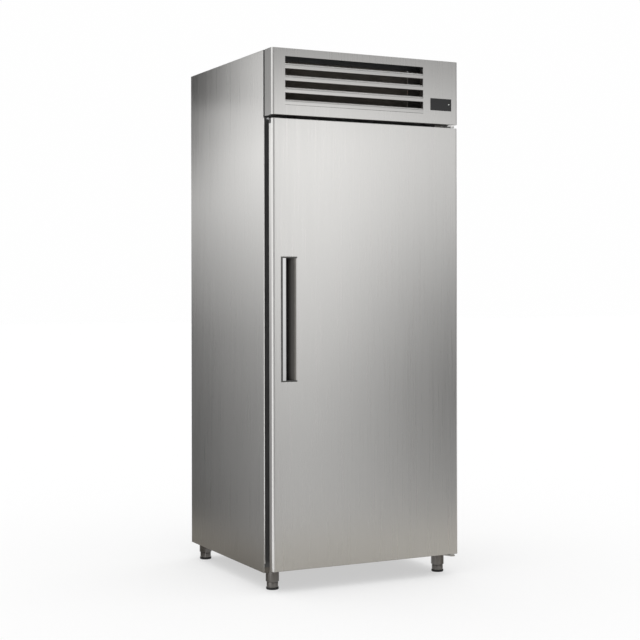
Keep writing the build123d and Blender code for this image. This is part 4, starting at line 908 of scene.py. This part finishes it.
world = bpy.data.worlds.new("studio")
bpy.context.scene.world = world
world.use_nodes = True
sky = world.node_tree
sky.nodes.clear()
direction = add_node(sky, "TexCoord").outputs["Generated"]
height = add_node(sky, "SeparateXYZ", {"Vector": direction}).outputs["Z"]
dome = add_node(sky, "Background", {"Strength": remap(sky, height, 0.05, 0.9, 0.10, 1.40)}, Color=white)
backdrop = add_node(sky, "Background", Strength=0.995, Color=white)
seen = add_node(sky, "LightPath").outputs["Is Camera Ray"]
mixed = add_node(sky, "MixShader", {0: seen, 1: dome.outputs[0], 2: backdrop.outputs[0]})
add_node(sky, "OutputWorld", {"Surface": mixed.outputs[0]})
bpy.context.scene.view_settings.view_transform = "Standard"
print("studio", floor.name, world.name)

# %% [markdown]
# ## Screens for the steel
#
# In a studio, large lit screens stand before the door and beside the panels, and the photographer makes them
# brighter or darker by height until the metal reads well. The door is bright at eye level and falls off
# downwards. It also falls off to the right, and the side falls off to the rear.
#
# Brushed steel draws each lamp out to a white bar. A screen with a soft gradient is what studios use.
# Each has one profile of brightness by height at its near end and one at its far end, and a soft-edged
# strip, which gives the rolled corners of door and header their bright and grey lines. The screens show in
# reflections only, so they light nothing else.

# %% Screens
def only_reflected(card):
    """A studio card that shows in reflections and nowhere else."""
    card.visible_camera = card.visible_diffuse = card.visible_shadow = False
    card.visible_transmission = card.visible_volume_scatter = False
    print("seen by the steel:", card.name)


def ramp(tree, height, profile):
    """Brightness by height in metres, from a list of (height, brightness)."""
    tallest = 3.2
    curve = add_node(tree, "ValToRGB", {"Fac": remap(tree, height, end=tallest)})
    stops = curve.color_ramp.elements
    for at, level in profile[1:-1]:
        stops.new(at / tallest).color = (level, level, level, 1)
    for stop, (at, level) in ((stops[0], profile[0]), (stops[len(stops) - 1], profile[-1])):
        stop.position = at / tallest
        stop.color = (level, level, level, 1)
    return curve.outputs["Color"]


def screen(name, left, right, top, axis, start, end, near, far, strip):
    """A lit screen that only reflections see. It stands on the floor between two points, up to a height.

    One height profile turns into another along an axis. A strip with soft edges has one brightness from top
    to bottom: the places where it starts, is full, is still full and ends, and its brightness.
    """
    mesh = bpy.data.meshes.new(name)
    mesh.from_pydata([(*left, 0), (*right, 0), (*right, top), (*left, top)], [], [(0, 1, 2, 3)])
    card = bpy.data.objects.new(name, mesh)
    bpy.context.scene.collection.objects.link(card)
    only_reflected(card)
    glow = bpy.data.materials.new(name)
    glow.use_nodes = True
    glow.cycles.emission_sampling = "NONE"
    mesh.materials.append(glow)
    tree = glow.node_tree
    tree.nodes.clear()
    place = add_node(tree, "SeparateXYZ", {"Vector": object_place(tree)}).outputs
    across = remap(tree, place[axis], start, end, interpolation_type="SMOOTHSTEP")
    mix = add_node(tree, "Mix", {"Factor": across}, data_type="RGBA")
    tree.links.new(ramp(tree, place["Z"], near), mix.inputs[6])
    tree.links.new(ramp(tree, place["Z"], far), mix.inputs[7])
    (begins, full, still, ends), brightness = strip
    comes, goes = remap(tree, place[axis], begins, full), remap(tree, place[axis], still, ends)
    stripe = add_node(tree, "Math", {0: comes, 1: goes}, operation="SUBTRACT").outputs[0]
    level = add_node(tree, "Mix", {"Factor": stripe, "A": mix.outputs[2]}, data_type="FLOAT", B=brightness)
    light = add_node(tree, "Emission", {"Strength": level.outputs["Result"]})
    add_node(tree, "OutputMaterial", {"Surface": light.outputs[0]})


# Brightness by height, for the left and right of the door and for the front and rear of the sides
door_left = [(0, 0.74), (0.4, 0.84), (0.7, 1.03), (1.05, 1.30), (1.4, 1.50), (1.85, 1.68), (2.0, 1.25),
             (2.2, 0.54), (3.2, 0.2)]
door_right = [(0, 0.43), (0.35, 0.28), (0.65, 0.18), (1.05, 0.35), (1.4, 0.70), (1.85, 0.98), (2.0, 0.85),
              (2.2, 0.55), (3.2, 0.2)]
side_front = [(0, 0.27), (0.3, 0.32), (0.6, 0.38), (0.9, 0.53), (1.25, 0.90), (1.5, 1.22), (1.7, 1.50),
              (1.95, 1.24), (2.1, 1.2), (2.3, 0.75)]
side_rear = [(0, 0.06), (0.3, 0.07), (0.6, 0.10), (0.9, 0.14), (1.1, 0.26), (1.35, 0.40), (1.55, 0.50),
             (1.7, 0.25), (1.85, 0.0)]
door_y, door_reach, door_top = -1.4, 3, 3.4
side_x, side_end, side_top = 0.8, 4.5, 3.2
door_strip = ((-3.0, -2.9, -0.22, 0.0), 0.42)
side_strip = ((-0.8, -0.75, -0.3, -0.05), 1.5)

screen("door_screen", (-door_reach, door_y), (door_reach, door_y), door_top,
       "X", 0.0, 1.15, door_left, door_right, door_strip)
for name, x, front in (("left_screen", -side_x, -0.8), ("right_screen", side_x, -0.3)):
    screen(name, (x, front), (x, side_end), side_top, "Y", 0.5, 1.4, side_front, side_rear, side_strip)

# %% [markdown]
# ## Floor cards and flags
#
# Low down, the steel mirrors the floor. Three matt cards lie there for it, warm grey before the door and
# darker at the sides. Two black flags stand high at the rear, where the side panels are dark in the photo.

# %% Floor cards and flags
def paint_card(card, name, chip):
    """Name a card that only reflections see, and give it matt paint."""
    card.name = name
    paint = start_material(name, Base_Color=linear(chip), Roughness=1.0, Specular_IOR_Level=0.0)[0]
    card.data.materials.append(paint)
    only_reflected(card)


card_side, card_level = 3, 0.0005
for name, chip, x, y in (
    ("front_card", "#D5D1C9", 1.0, -1.9),
    ("left_card", "#8E8981", -1.9, 1.1),
    ("right_card", "#8E8981", 1.9, 1.1),
):
    paint_card(plate((x, y, card_level), (0, 0, 0), card_side, card_side), name, chip)

flag_x, flag_y, flag_z, flag_height, flag_depth = 0.795, 1.14, 2.225, 0.53, 0.86
for name, x in (("left_flag", -flag_x), ("right_flag", flag_x)):
    paint_card(plate((x, flag_y, flag_z), (0, 90, 0), flag_height, flag_depth), name, "#1E1D1C")
